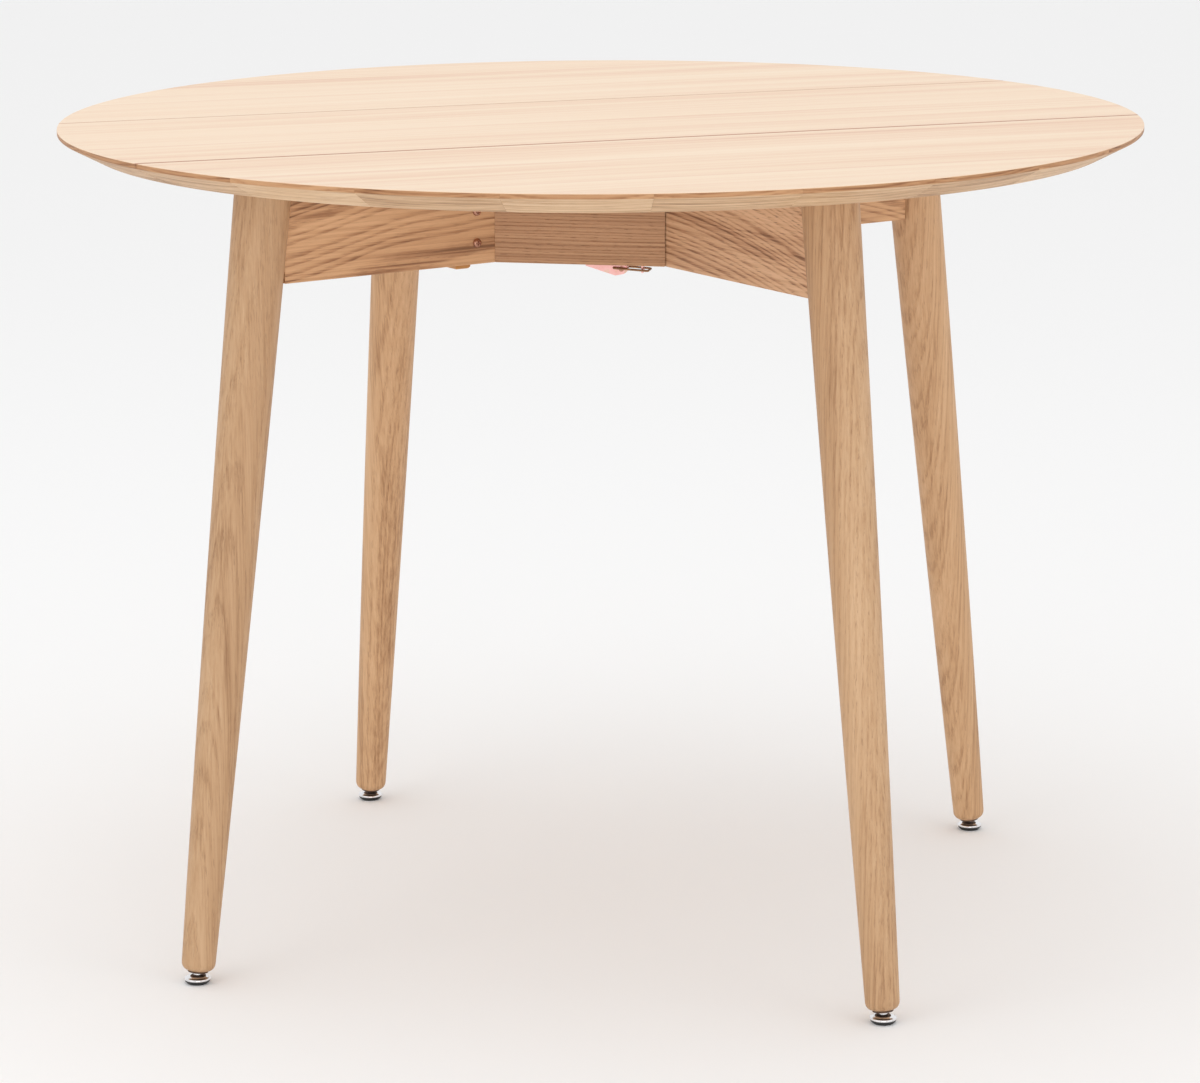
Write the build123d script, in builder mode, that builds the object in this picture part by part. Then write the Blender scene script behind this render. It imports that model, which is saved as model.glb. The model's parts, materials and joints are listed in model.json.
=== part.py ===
from build123d import *
from math import asin, cos, degrees, radians, sin, sqrt, tan
import os

# A round oak gateleg table, standing open.
# The origin is on the floor under the centre of the top. +X runs from the front left leg to the
# front right one, +Y to the back legs, +Z up.
# A fixed strip runs across the top at an angle, with a drop leaf hinged to each side of it. A cross
# rail joins the front left and back right legs under the strip. The other two legs are gates: each
# hangs on an arm, hinged to the cross rail near the centre, and swings in under the strip. The back
# half of the table is the front half turned by 180 degrees about Z.

# ---- table top ----
TABLE_HEIGHT = 755.0
TOP_DIAMETER = 1000.0
TOP_THICKNESS = 20.0
VENEER = 0.6
EDGE_BAND = 4.5             # upright band at the rim, above the bevel
BEVEL_WIDTH = 30.0          # the underside ends this far inside the rim
LIPPING_WIDTH = 42.0        # solid oak edge around the core
LEAF_LIPPING_PIECES = 10
STRIP_LIPPING_PIECES = 2    # at each end of the strip
GLUE_LINE = 0.15            # between two pieces of lipping
STRIP_WIDTH = 300.0         # between the middles of the two seams
STRIP_ANGLE = 31.0          # the strip's length, turned from +X
SEAM_GAP = 1.2

# ---- legs ----
LEG_TOP_REACH = 356.4       # leg axis from the centre, level with the underside of the top
LEG_FOOT_REACH = 445.0      # leg axis from the centre, at the floor
LEG_TOP_DIAMETER = 51.0
LEG_MIDDLE_DIAMETER = 42.6
LEG_FOOT_DIAMETER = 30.0
LEG_END_HEIGHT = 12.0       # end of the wood, above the floor
LEG_END_ROUND = 8.0
LEG_ANGLES = {"front_left": -135, "front_right": -45, "back_right": 45, "back_left": 135}
FIXED_LEGS = ("front_left", "back_right")

# ---- rails ----
RAIL_THICKNESS = 25.0
RAIL_DEPTH = 101.0          # from the underside of the top down
COPE_GAP = 0.1              # between a rail's hollowed end and the round leg
GATE_DROP = 4.0             # a gate's top, below the underside of the top
GATE_END_GAP = 0.5          # between a gate arm's inner end and the cross rail
SPACER_FACE = 98.0          # front face of the spacer rail, from the centre
SPACER_THICKNESS = 22.0
SPACER_GAP = 0.8            # between the spacer rail and the gate arm
BLOCK_THICKNESS = 28.0
BLOCK_GAP = 1.5             # between the corner blocks and the gate arm
DOWEL_DIAMETER = 10.0
DOWEL_LENGTH = 52.0
DOWEL_IN_LEG = 24.0
DOWEL_HEIGHTS = (26.0, 76.0)  # above the rail's lower edge
PAD_LENGTH = 45.0
PAD_WIDTH = 16.0
PAD_REACH = 322.0           # middle of a gate's top pad, from the centre
PAD_GAP = 0.4               # between the pad and the top

# ---- gate hinges ----
GATE_FOLD = 66.0            # a gate's swing
HINGE_HEIGHT = 80.0
HINGE_LIFT = 11.0           # lower end of the hinge, above the rail's lower edge
HINGE_REACH = 30.0          # plate's far edge, from the pin
HINGE_PLATE = 2.0
KNUCKLE_RADIUS = 4.0
KNUCKLE_FACE_GAP = 0.5      # between a knuckle and the wood
KNUCKLES = 5
KNUCKLE_GAP = 0.4
HINGE_PIN_RADIUS = 2.0

# ---- fold stops ----
STOP_REACH = 144.5          # along the arm, from the centre
STOP_WIDTH = 16.0
STOP_HEIGHT = 75.0
STOP_HANG = 8.0             # below the rail's lower edge
STOP_ROUND = 3.0
BUMPER_THICKNESS = 3.0
BUMPER_HEIGHT = 44.0
BUMPER_GAP = 0.4            # between the bumper and a folded gate
STOP_SCREW_HEIGHTS = (19.5, 48.5)  # above the rail's lower edge

# ---- leaf hinges ----
LEAF_HINGE_INSET = 52.7     # middle of an outer hinge, from the end of the core along the seam
LEAF_HINGE_LENGTH = 60.0
LEAF_HINGE_WIDTH = 25.0     # each plate, from the edge of its board
LEAF_HINGE_PLATE = 2.0
LEAF_KNUCKLE_RADIUS = 3.0
LEAF_PIN_RADIUS = 1.25
LEAF_HINGE_CLEAR = 1.0      # at least, between a hinge and the spacer rail
LEAF_SCREW_END = 0.32       # a leaf hinge's screws from its middle, as a share of its length
MORTISE_GAP = 0.1           # around a let-in plate
BARREL_GAP = 0.5            # around the knuckles, in the boards' edges

# ---- toggle latch, under the lower corner block ----
# points are (along X from the gate arm's face on the latch's line, below the rail's lower edge)
LATCH_LINE = 57.0           # its centre line, from the centre of the table
LATCH_PIVOT = (-8.3, 8.5)
LOOP_PIVOT = (-15.6, 7.6)
LEVER_TIP = (-41.7, 6.2)
LEVER_BELLY = (-14.3, 12.2)
LATCH_PLATE = 1.5
LATCH_PLATE_START = -28.3
LATCH_PLATE_WIDTH = 15.0
EAR_INSIDE = 4.3            # from the latch's centre line
EAR_THICKNESS = 1.2
EAR_RADIUS = 4.5
LEVER_HALF_WIDTH = 4.0
LEVER_SHEET = 1.0
RIVET_RADIUS = 1.5
WIRE_RADIUS = 1.0
LOOP_HALF_WIDTH = 8.0
LOOP_BAR_DEPTH = 9.5        # middle of the loop's end bar, below the rail's lower edge
HOOK_START = 10.0
HOOK_LENGTH = 17.5
HOOK_HALF_WIDTH = 4.5
HOOK_DEPTH = 12.0
HOOK_SLACK = 4.4            # between the hook's tongue and the loop's end bar

# ---- levelling glides ----
INSERT_RADIUS = 6.0
INSERT_LENGTH = 26.0
COLLAR_RADIUS = 9.5
COLLAR_THICKNESS = 1.6
STUD_RADIUS = 4.0
STUD_LENGTH = 24.0
DISH_RADIUS = 12.2
DISH_BOTTOM = 3.6
DISH_RIM_TOP = 5.4
DISH_TOP = 8.6
PAD_FOOT_RADIUS = 9.0
PAD_TOP_RADIUS = 11.7

# ---- screws and brackets ----
SCREW_RADIUS = 1.5
SCREW_HEAD_RADIUS = 3.0
SCREW_HEAD_HEIGHT = 1.6
STOP_SCREW_RADIUS = 2.0
STOP_SCREW_HEAD_RADIUS = 4.25
STOP_SCREW_HEAD_HEIGHT = 2.6
BRACKET_SIDE = 17.0
BRACKET_WIDTH = 16.0
BRACKET_SHEET = 2.0
BRACKET_REACHES = (230.0, 300.0)  # along the cross rail, one on each face
PLATE_SCREW_SHARE = 0.62    # a hinge's screws, as a share of the way across its plate
HINGE_SCREW_RISES = (0.15, 0.5, 0.85)  # shares of the gate hinge's height
BLOCK_SCREW_SHARES = (0.58, 0.82)  # along the corner block
HINGE_SCREW_BITE = 16.0     # a screw's length in the last piece of wood
BLOCK_SCREW_BITE = 14.0
STOP_SCREW_BITE = 20.0
SHEET_SCREW_BITE = 12.0
LEAF_SCREW_BITE = 10.0
RUNNING = 0.05              # radial clearance of pins and screws in their holes

# ---- worked out from the sizes above ----
UNDERSIDE = TABLE_HEIGHT - TOP_THICKNESS
VENEER_BOTTOM = TABLE_HEIGHT - VENEER
TOP_RADIUS = TOP_DIAMETER / 2
CORE_RADIUS = TOP_RADIUS - LIPPING_WIDTH
SEAM = STRIP_WIDTH / 2
STRIP_EDGE = SEAM - SEAM_GAP / 2
LEAF_HINGE_SPREAD = sqrt(CORE_RADIUS**2 - SEAM**2) - LEAF_HINGE_INSET
LEAF_SCREW_LINE = STRIP_EDGE - PLATE_SCREW_SHARE * LEAF_HINGE_WIDTH
# the middle hinge sits at the middle of its seam, or as near to it as its knuckles and its screw
# heads can without touching the spacer rail
KNUCKLE_SPARE = SEAM * cos(radians(STRIP_ANGLE)) - SPACER_FACE - LEAF_KNUCKLE_RADIUS - LEAF_HINGE_CLEAR
KNUCKLE_REST = KNUCKLE_SPARE / sin(radians(STRIP_ANGLE)) - LEAF_HINGE_LENGTH / 2
SCREW_SPARE = LEAF_SCREW_LINE * cos(radians(STRIP_ANGLE)) - SPACER_FACE - SCREW_HEAD_RADIUS - LEAF_HINGE_CLEAR
SCREW_REST = SCREW_SPARE / sin(radians(STRIP_ANGLE)) - LEAF_SCREW_END * LEAF_HINGE_LENGTH
LEAF_HINGE_SPOTS = (-LEAF_HINGE_SPREAD, min(0, KNUCKLE_REST, SCREW_REST), LEAF_HINGE_SPREAD)
LEAF_EDGE = SEAM + SEAM_GAP / 2
RAIL_FACE = RAIL_THICKNESS / 2
RAIL_BOTTOM = UNDERSIDE - RAIL_DEPTH
GATE_TOP = UNDERSIDE - GATE_DROP
SPLAY_SLOPE = (LEG_FOOT_REACH - LEG_TOP_REACH) / UNDERSIDE
RAIL_REACH = LEG_TOP_REACH + SPLAY_SLOPE * RAIL_DEPTH / 2
PIN_AT = RAIL_FACE + KNUCKLE_FACE_GAP + KNUCKLE_RADIUS
HINGE_BOTTOM = RAIL_BOTTOM + HINGE_LIFT
SPACER_BACK = SPACER_FACE - SPACER_THICKNESS
LATCH_TOP = RAIL_BOTTOM
HINGE_SCREW = HINGE_PLATE + HINGE_SCREW_BITE
BLOCK_SCREW = RAIL_THICKNESS + BLOCK_SCREW_BITE
STOP_SCREW = RAIL_THICKNESS + STOP_SCREW_BITE
BRACKET_SCREW = BRACKET_SHEET + SHEET_SCREW_BITE
LATCH_SCREW = LATCH_PLATE + SHEET_SCREW_BITE
LEAF_HINGE_SCREW = LEAF_HINGE_PLATE + LEAF_SCREW_BITE
ARM_EDGE = LATCH_LINE - RAIL_FACE * sqrt(2)  # X of the gate arm's face on the latch's line
LOOP_BAR = HOOK_START + LATCH_PLATE + HOOK_SLACK + WIRE_RADIUS
TURNS = {"front": 0, "back": 180}

os.makedirs("parts", exist_ok=True)


def finish(piece, name):
    """Name a finished piece and write it."""
    piece.part.label = name
    export_step(piece.part, f"parts/{name}.step")


def heading(angle):
    """Level unit vector at an angle from +X."""
    return Vector(cos(radians(angle)), sin(radians(angle)), 0)


def rail_plane(z, turn=0):
    """Level plane whose x runs out along the gate arm and whose y runs along the cross rail."""
    return Plane(origin=(0, 0, z), x_dir=heading(turn - 45), z_dir=(0, 0, 1))


def strip_plane(z, turn=0):
    """Level plane whose x runs along the strip."""
    return Plane(origin=(0, 0, z), x_dir=heading(turn + STRIP_ANGLE), z_dir=(0, 0, 1))


def facing(level, x, y, angle):
    """Upright plane at (x, y) of a level plane, looking along an angle from that plane's x."""
    outward = Vector(cos(radians(angle)), sin(radians(angle)), 0)
    along = level.from_local_coords(outward) - level.origin
    return Plane(origin=level.from_local_coords((x, y, 0)), x_dir=along.cross(Vector(0, 0, 1)), z_dir=along)


def screws(places, length, radius=SCREW_RADIUS, head=SCREW_HEAD_RADIUS, height=SCREW_HEAD_HEIGHT):
    """Pan-head screws whose heads stand on the given planes."""
    with BuildSketch(*places) as shanks:
        Circle(radius)
    extrude(shanks.sketch, amount=-length)
    with BuildSketch(*places) as heads:
        Circle(head)
    extrude(heads.sketch, amount=height, taper=18)


def holes(places, length, radius=SCREW_RADIUS):
    """Holes going down from the given planes, with running clearance."""
    with BuildSketch(*places) as mouths:
        Circle(radius + RUNNING)
    extrude(mouths.sketch, amount=-(length + RUNNING), mode=Mode.SUBTRACT)


# ---- where the screws and dowels go, shared by the pieces that they join ----
def hinge_screw_places(turn, fixed):
    """On the outer face of one plate of a gate hinge."""
    places = []
    for rise in HINGE_SCREW_RISES:
        level = rail_plane(HINGE_BOTTOM + rise * HINGE_HEIGHT, turn)
        middle = PIN_AT + PLATE_SCREW_SHARE * HINGE_REACH
        face = RAIL_FACE + HINGE_PLATE
        places.append(facing(level, face, middle, 0) if fixed else facing(level, middle, face, 90))
    return places


def block_screw_places(turn):
    """Through the cross rail from its far face into the lower corner block."""
    level = rail_plane(RAIL_BOTTOM + BLOCK_THICKNESS / 2, turn)
    reach = SPACER_BACK * sqrt(2) - RAIL_FACE
    return [facing(level, -RAIL_FACE, -share * reach, 180) for share in BLOCK_SCREW_SHARES]


def stop_screw_places(turn):
    """Through the cross rail from its far face into the fold stop."""
    levels = [rail_plane(RAIL_BOTTOM + height, turn) for height in STOP_SCREW_HEIGHTS]
    return [facing(level, -RAIL_FACE, STOP_REACH, 180) for level in levels]


def bracket_places(turn):
    """Corners where the brackets sit: plane x out of the rail's face, one on each face."""
    level = rail_plane(UNDERSIDE, turn)
    near = level.from_local_coords((RAIL_FACE, -BRACKET_REACHES[0], 0))
    far = level.from_local_coords((-RAIL_FACE, -BRACKET_REACHES[1], 0))
    out = heading(turn - 45)
    return [Plane(origin=near, x_dir=out, z_dir=(0, 0, 1)), Plane(origin=far, x_dir=-out, z_dir=(0, 0, 1))]


def bracket_side_places(turn):
    """Screws through the brackets into the cross rail."""
    middle = BRACKET_SHEET + (BRACKET_SIDE - BRACKET_SHEET) / 2
    return [facing(at.offset(-middle), BRACKET_SHEET, 0, 0) for at in bracket_places(turn)]


def bracket_top_places(turn):
    """Screws through the brackets up into the strip."""
    middle = BRACKET_SHEET + (BRACKET_SIDE - BRACKET_SHEET) / 2
    return [
        Plane(origin=at.from_local_coords((middle, 0, -BRACKET_SHEET)), x_dir=at.x_dir, z_dir=(0, 0, -1))
        for at in bracket_places(turn)
    ]


def latch_spot(along, side, turn):
    """Point on the lower face of the latch's plates, beside the latch's line."""
    return Vector(ARM_EDGE + along, side - LATCH_LINE, LATCH_TOP - LATCH_PLATE).rotate(Axis.Z, turn)


def latch_base_screw_places(turn):
    """Up through the latch's plate into the lower corner block."""
    return [
        Plane(
            origin=latch_spot(LATCH_PLATE_START + 6, side, turn),
            x_dir=heading(turn),
            z_dir=(0, 0, -1),
        )
        for side in (-LATCH_PLATE_WIDTH / 4, LATCH_PLATE_WIDTH / 4)
    ]


def latch_hook_screw_places(turn):
    """Up through the hook's plate into the gate arm."""
    return [
        Plane(
            origin=latch_spot(HOOK_START + share * HOOK_LENGTH, 0, turn),
            x_dir=heading(turn),
            z_dir=(0, 0, -1),
        )
        for share in (0.5, 0.82)
    ]


def leaf_hinge_screw_places(turn, edge, away):
    """Up through the plates of one seam's hinges: edge is the board's edge, away its inward side."""
    level = strip_plane(UNDERSIDE, turn)
    places = []
    for middle in LEAF_HINGE_SPOTS:
        for end in (-LEAF_SCREW_END, LEAF_SCREW_END):
            at = (middle + end * LEAF_HINGE_LENGTH, -edge + away * PLATE_SCREW_SHARE * LEAF_HINGE_WIDTH, 0)
            places.append(Plane(origin=level.from_local_coords(at), x_dir=level.x_dir, z_dir=(0, 0, -1)))
    return places


def leg_axis(angle):
    """Foot point on the floor, unit vector up the leg, and level unit vector across it."""
    foot = heading(angle) * LEG_FOOT_REACH
    top = heading(angle) * LEG_TOP_REACH + Vector(0, 0, UNDERSIDE)
    return foot, (top - foot).normalized(), heading(angle + 90)


def dowel_places(angle):
    """Where the dowels' inner ends lie in a rail, looking out along the leg's heading."""
    places = []
    for height in DOWEL_HEIGHTS:
        reach = LEG_TOP_REACH + SPLAY_SLOPE * (RAIL_DEPTH - height)
        surface = reach - LEG_TOP_DIAMETER / 2
        inner = surface + DOWEL_IN_LEG - DOWEL_LENGTH
        places.append(facing(Plane.XY.offset(RAIL_BOTTOM + height), inner * cos(radians(angle)),
                             inner * sin(radians(angle)), angle))
    return places


def dowel_holes(angle):
    """Blind holes for the dowels of one leg, cut from both the leg and its rail."""
    with BuildSketch(*[at.offset(-RUNNING) for at in dowel_places(angle)]) as mouths:
        Circle(DOWEL_DIAMETER / 2 + RUNNING)
    extrude(mouths.sketch, amount=DOWEL_LENGTH + 2 * RUNNING, mode=Mode.SUBTRACT)


# ---- table top: three cores, their lipping and their veneer ----
def board_halfspaces(board, turn):
    """Planes that bound one board, with the side of each that is kept."""
    if board == "strip":
        return [(facing(strip_plane(0), 0, STRIP_EDGE, 90), Keep.BOTTOM),
                (facing(strip_plane(0), 0, -STRIP_EDGE, -90), Keep.BOTTOM)]
    return [(facing(strip_plane(0, turn), 0, -LEAF_EDGE, -90), Keep.TOP)]


def hinge_mortises(turn, edge, away):
    """Shallow recesses for one seam's hinge plates and a round channel for their knuckles."""
    level = strip_plane(UNDERSIDE, turn)
    width = LEAF_HINGE_WIDTH + MORTISE_GAP
    with BuildSketch(level) as recesses:
        for middle in LEAF_HINGE_SPOTS:
            with Locations((middle, -edge + away * width / 2)):
                Rectangle(LEAF_HINGE_LENGTH + 2 * MORTISE_GAP, width)
    extrude(recesses.sketch, amount=LEAF_HINGE_PLATE, mode=Mode.SUBTRACT)
    starts = [
        facing(level, middle - LEAF_HINGE_LENGTH / 2 - BARREL_GAP, -SEAM, 0)
        for middle in LEAF_HINGE_SPOTS
    ]
    with BuildSketch(*starts) as channels:
        Circle(LEAF_KNUCKLE_RADIUS + BARREL_GAP)
    extrude(channels.sketch, amount=LEAF_HINGE_LENGTH + 2 * BARREL_GAP, mode=Mode.SUBTRACT)


def make_core(board, turn):
    """Core board, flat on top under the veneer, with its hinges let in underneath."""
    with BuildPart() as core:
        with BuildSketch(Plane.XY.offset(UNDERSIDE)):
            Circle(CORE_RADIUS)
        extrude(amount=VENEER_BOTTOM - UNDERSIDE)
        for plane, side in board_halfspaces(board, turn):
            split(bisect_by=plane, keep=side)
        if board == "strip":
            for half in TURNS.values():
                hinge_mortises(half, STRIP_EDGE, 1)
                holes(leaf_hinge_screw_places(half, STRIP_EDGE, 1), LEAF_HINGE_SCREW)
                holes(bracket_top_places(half), BRACKET_SCREW)
        else:
            hinge_mortises(turn, LEAF_EDGE, -1)
            holes(leaf_hinge_screw_places(turn, LEAF_EDGE, -1), LEAF_HINGE_SCREW)
    return core


def lipping_arcs(board, turn):
    """Start angle and sweep of each piece of a board's lipping."""
    half_end = degrees(asin(SEAM / TOP_RADIUS))
    if board == "strip":
        sweep = 2 * half_end / STRIP_LIPPING_PIECES
        starts = [end - half_end + n * sweep for end in (0, 180) for n in range(STRIP_LIPPING_PIECES)]
    else:
        sweep = (180 - 2 * half_end) / LEAF_LIPPING_PIECES
        starts = [turn + 180 + half_end + n * sweep for n in range(LEAF_LIPPING_PIECES)]
    glue = degrees(GLUE_LINE / TOP_RADIUS)
    return [(STRIP_ANGLE + start + glue / 2, sweep - glue) for start in starts]


def make_lipping(board, turn):
    """Solid edge pieces: an upright band at the rim and a long bevel below it."""
    # the first and last pieces run past the seam, to be cut along it
    spare = degrees(asin(SEAM / CORE_RADIUS)) - degrees(asin(SEAM / TOP_RADIUS)) + 1
    arcs = lipping_arcs(board, turn)
    with BuildPart() as lipping:
        for number, (start, sweep) in enumerate(arcs):
            per_run = STRIP_LIPPING_PIECES if board == "strip" else LEAF_LIPPING_PIECES
            before = spare if number % per_run == 0 else 0
            after = spare if number % per_run == per_run - 1 else 0
            first = start - before
            with BuildSketch(Plane(origin=(0, 0, 0), x_dir=heading(first), z_dir=-heading(first + 90))):
                with BuildLine():
                    Polyline(
                        (CORE_RADIUS, UNDERSIDE),
                        (TOP_RADIUS - BEVEL_WIDTH, UNDERSIDE),
                        (TOP_RADIUS, TABLE_HEIGHT - EDGE_BAND),
                        (TOP_RADIUS, VENEER_BOTTOM),
                        (CORE_RADIUS, VENEER_BOTTOM),
                        close=True,
                    )
                make_face()
            revolve(axis=Axis.Z, revolution_arc=sweep + before + after)
        for plane, side in board_halfspaces(board, turn):
            split(bisect_by=plane, keep=side)
    return lipping


def make_veneer(board, turn):
    """Face veneer, over the core and the lipping out to the rim."""
    with BuildPart() as veneer:
        with BuildSketch(Plane.XY.offset(VENEER_BOTTOM)):
            Circle(TOP_RADIUS)
        extrude(amount=VENEER)
        chamfer(veneer.faces().sort_by(Axis.Z)[-1].edges(), length=VENEER / 2)
        for plane, side in board_halfspaces(board, turn):
            split(bisect_by=plane, keep=side)
    return veneer


for board, turn in (("strip", 0), ("front_leaf", 0), ("back_leaf", 180)):
    finish(make_core(board, turn), f"{board}_core")
    finish(make_lipping(board, turn), f"{board}_lipping")
    finish(make_veneer(board, turn), f"{board}_veneer")


# ---- leaf hinges ----
def make_leaf_hinge_plates(turns, own, edge, away):
    """One side of the leaf hinges: a let-in plate with its share of the knuckles."""
    pitch = LEAF_HINGE_LENGTH / KNUCKLES
    clear = LEAF_KNUCKLE_RADIUS + KNUCKLE_GAP
    with BuildPart() as plates:
        for turn in turns:
            level = strip_plane(UNDERSIDE, turn)
            far = LEAF_HINGE_WIDTH + abs(edge - SEAM)
            for middle in LEAF_HINGE_SPOTS:
                with BuildSketch(level):
                    with Locations((middle, -SEAM + away * (far + clear) / 2)):
                        Rectangle(LEAF_HINGE_LENGTH, far - clear)
                    for station in own:
                        x = middle + (station + 0.5 - KNUCKLES / 2) * pitch
                        with Locations((x, -SEAM + away * far / 2)):
                            Rectangle(pitch - KNUCKLE_GAP, far)
                extrude(amount=LEAF_HINGE_PLATE)
                ends = [
                    facing(level, middle + (station - KNUCKLES / 2) * pitch + KNUCKLE_GAP / 2, -SEAM, 0)
                    for station in own
                ]
                with BuildSketch(*ends):
                    Circle(LEAF_KNUCKLE_RADIUS)
                extrude(amount=pitch - KNUCKLE_GAP)
                with BuildSketch(facing(level, middle - LEAF_HINGE_LENGTH / 2, -SEAM, 0)):
                    Circle(LEAF_PIN_RADIUS + RUNNING)
                extrude(amount=LEAF_HINGE_LENGTH, mode=Mode.SUBTRACT)
            holes(leaf_hinge_screw_places(turn, edge, away), LEAF_HINGE_PLATE)
    return plates


finish(make_leaf_hinge_plates((0, 180), (0, 2, 4), STRIP_EDGE, 1), "leaf_hinge_strip_plates")
for side, turn in TURNS.items():
    finish(make_leaf_hinge_plates((turn,), (1, 3), LEAF_EDGE, -1), f"{side}_leaf_hinge_plates")

with BuildPart() as leaf_pins:
    for turn in TURNS.values():
        level = strip_plane(UNDERSIDE, turn)
        ends = [
            facing(level, middle - LEAF_HINGE_LENGTH / 2, -SEAM, 0)
            for middle in LEAF_HINGE_SPOTS
        ]
        with BuildSketch(*ends):
            Circle(LEAF_PIN_RADIUS)
        extrude(amount=LEAF_HINGE_LENGTH)
finish(leaf_pins, "leaf_hinge_pins")

for side, turn in TURNS.items():
    with BuildPart() as leaf_screws:
        screws(leaf_hinge_screw_places(turn, LEAF_EDGE, -1), LEAF_HINGE_SCREW)
    finish(leaf_screws, f"{side}_leaf_screws")


# ---- legs ----
def make_leg_blank(angle, top, grow=0.0):
    """Turned leg: a slim bellied taper with a rounded foot, cut level at its top."""
    foot, up, across = leg_axis(angle)
    outward = across.cross(up)
    length = UNDERSIDE / up.Z
    start = LEG_END_HEIGHT / up.Z
    end = length + LEG_TOP_DIAMETER * SPLAY_SLOPE
    # the middle point of the curve that passes through the middle diameter
    swell = LEG_MIDDLE_DIAMETER - (LEG_FOOT_DIAMETER + LEG_TOP_DIAMETER) / 4
    with BuildPart() as leg:
        with BuildSketch(Plane(origin=foot, x_dir=outward, z_dir=outward.cross(up))) as outline:
            with BuildLine():
                Line((0, start), (LEG_FOOT_DIAMETER / 2 + grow, start))
                Bezier(
                    (LEG_FOOT_DIAMETER / 2 + grow, start),
                    (swell + grow, (start + end) / 2),
                    (LEG_TOP_DIAMETER / 2 + grow, end),
                )
                Polyline((LEG_TOP_DIAMETER / 2 + grow, end), (0, end), (0, start))
            make_face()
            fillet(outline.vertices().sort_by(Axis.Y)[:2].sort_by(Axis.X)[-1], LEG_END_ROUND)
        revolve(axis=Axis(foot, up))
        split(bisect_by=Plane.XY.offset(top), keep=Keep.BOTTOM)
    return leg.part


def make_leg(angle, top):
    """Leg with its dowel holes and the bore for its glide's insert."""
    foot, up, across = leg_axis(angle)
    blank = make_leg_blank(angle, top)
    with BuildPart() as leg:
        add(blank)
        dowel_holes(angle)
        with BuildSketch(Plane(origin=foot, x_dir=across, z_dir=up)):
            Circle(INSERT_RADIUS + RUNNING)
        extrude(amount=LEG_END_HEIGHT / up.Z + INSERT_LENGTH + 1, mode=Mode.SUBTRACT)
    return leg


for name, angle in LEG_ANGLES.items():
    finish(make_leg(angle, UNDERSIDE if name in FIXED_LEGS else GATE_TOP), f"{name}_leg")


# ---- cross rail, spacer rails and corner blocks ----
with BuildPart() as cross_rail:
    with BuildSketch(rail_plane(RAIL_BOTTOM)):
        Rectangle(RAIL_THICKNESS, 2 * RAIL_REACH)
    extrude(amount=RAIL_DEPTH)
    for name in FIXED_LEGS:
        add(make_leg_blank(LEG_ANGLES[name], UNDERSIDE + 1, COPE_GAP), mode=Mode.SUBTRACT)
        dowel_holes(LEG_ANGLES[name])
    for turn in TURNS.values():
        holes(hinge_screw_places(turn, True), HINGE_SCREW)
        holes(block_screw_places(turn), BLOCK_SCREW)
        holes(stop_screw_places(turn), STOP_SCREW, STOP_SCREW_RADIUS)
        holes(bracket_side_places(turn), BRACKET_SCREW)
finish(cross_rail, "cross_rail")

with BuildPart() as spacer_rails:
    for turn in TURNS.values():
        front, back = SPACER_FACE * sqrt(2), SPACER_BACK * sqrt(2)
        end = RAIL_FACE + SPACER_GAP
        with BuildSketch(rail_plane(RAIL_BOTTOM, turn)):
            with BuildLine():
                Polyline(
                    (RAIL_FACE, RAIL_FACE - front),
                    (front - end, -end),
                    (back - end, -end),
                    (RAIL_FACE, RAIL_FACE - back),
                    close=True,
                )
            make_face()
        extrude(amount=RAIL_DEPTH)
finish(spacer_rails, "spacer_rails")

with BuildPart() as corner_blocks:
    for turn in TURNS.values():
        back = SPACER_BACK * sqrt(2)
        end = RAIL_FACE + BLOCK_GAP
        for bottom in (RAIL_BOTTOM, UNDERSIDE - BLOCK_THICKNESS):
            with BuildSketch(rail_plane(bottom, turn)):
                with BuildLine():
                    Polyline((RAIL_FACE, -end), (back - end, -end), (RAIL_FACE, RAIL_FACE - back), close=True)
                make_face()
            extrude(amount=BLOCK_THICKNESS)
        holes(block_screw_places(turn), BLOCK_SCREW)
        holes(latch_base_screw_places(turn), LATCH_SCREW)
finish(corner_blocks, "corner_blocks")

with BuildPart() as rail_dowels:
    for name in FIXED_LEGS:
        with BuildSketch(*dowel_places(LEG_ANGLES[name])):
            Circle(DOWEL_DIAMETER / 2)
        extrude(amount=DOWEL_LENGTH)
finish(rail_dowels, "rail_dowels")

# ---- brackets that hold the strip down on the cross rail ----
with BuildPart() as brackets:
    for turn in TURNS.values():
        for at in bracket_places(turn):
            side_view = Plane(origin=at.origin, x_dir=at.x_dir, z_dir=at.x_dir.cross(Vector(0, 0, 1)))
            with BuildSketch(side_view):
                with BuildLine():
                    Polyline(
                        (0, 0),
                        (BRACKET_SIDE, 0),
                        (BRACKET_SIDE, -BRACKET_SHEET),
                        (BRACKET_SHEET, -BRACKET_SHEET),
                        (BRACKET_SHEET, -BRACKET_SIDE),
                        (0, -BRACKET_SIDE),
                        close=True,
                    )
                make_face()
            extrude(amount=BRACKET_WIDTH / 2, both=True)
        holes(bracket_side_places(turn), BRACKET_SHEET)
        holes(bracket_top_places(turn), BRACKET_SHEET)
finish(brackets, "top_brackets")


# ---- gate hinges ----
def hinge_outline(level, along_from, along_to, fixed):
    """Strip of plate against the rail (fixed) or against the gate arm."""
    length = along_to - along_from
    middle = PIN_AT + (along_from + along_to) / 2
    thick = RAIL_FACE + HINGE_PLATE / 2
    with BuildSketch(level) as outline:
        with Locations((thick, middle) if fixed else (middle, thick)):
            Rectangle(*((HINGE_PLATE, length) if fixed else (length, HINGE_PLATE)))
    return outline.sketch


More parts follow.
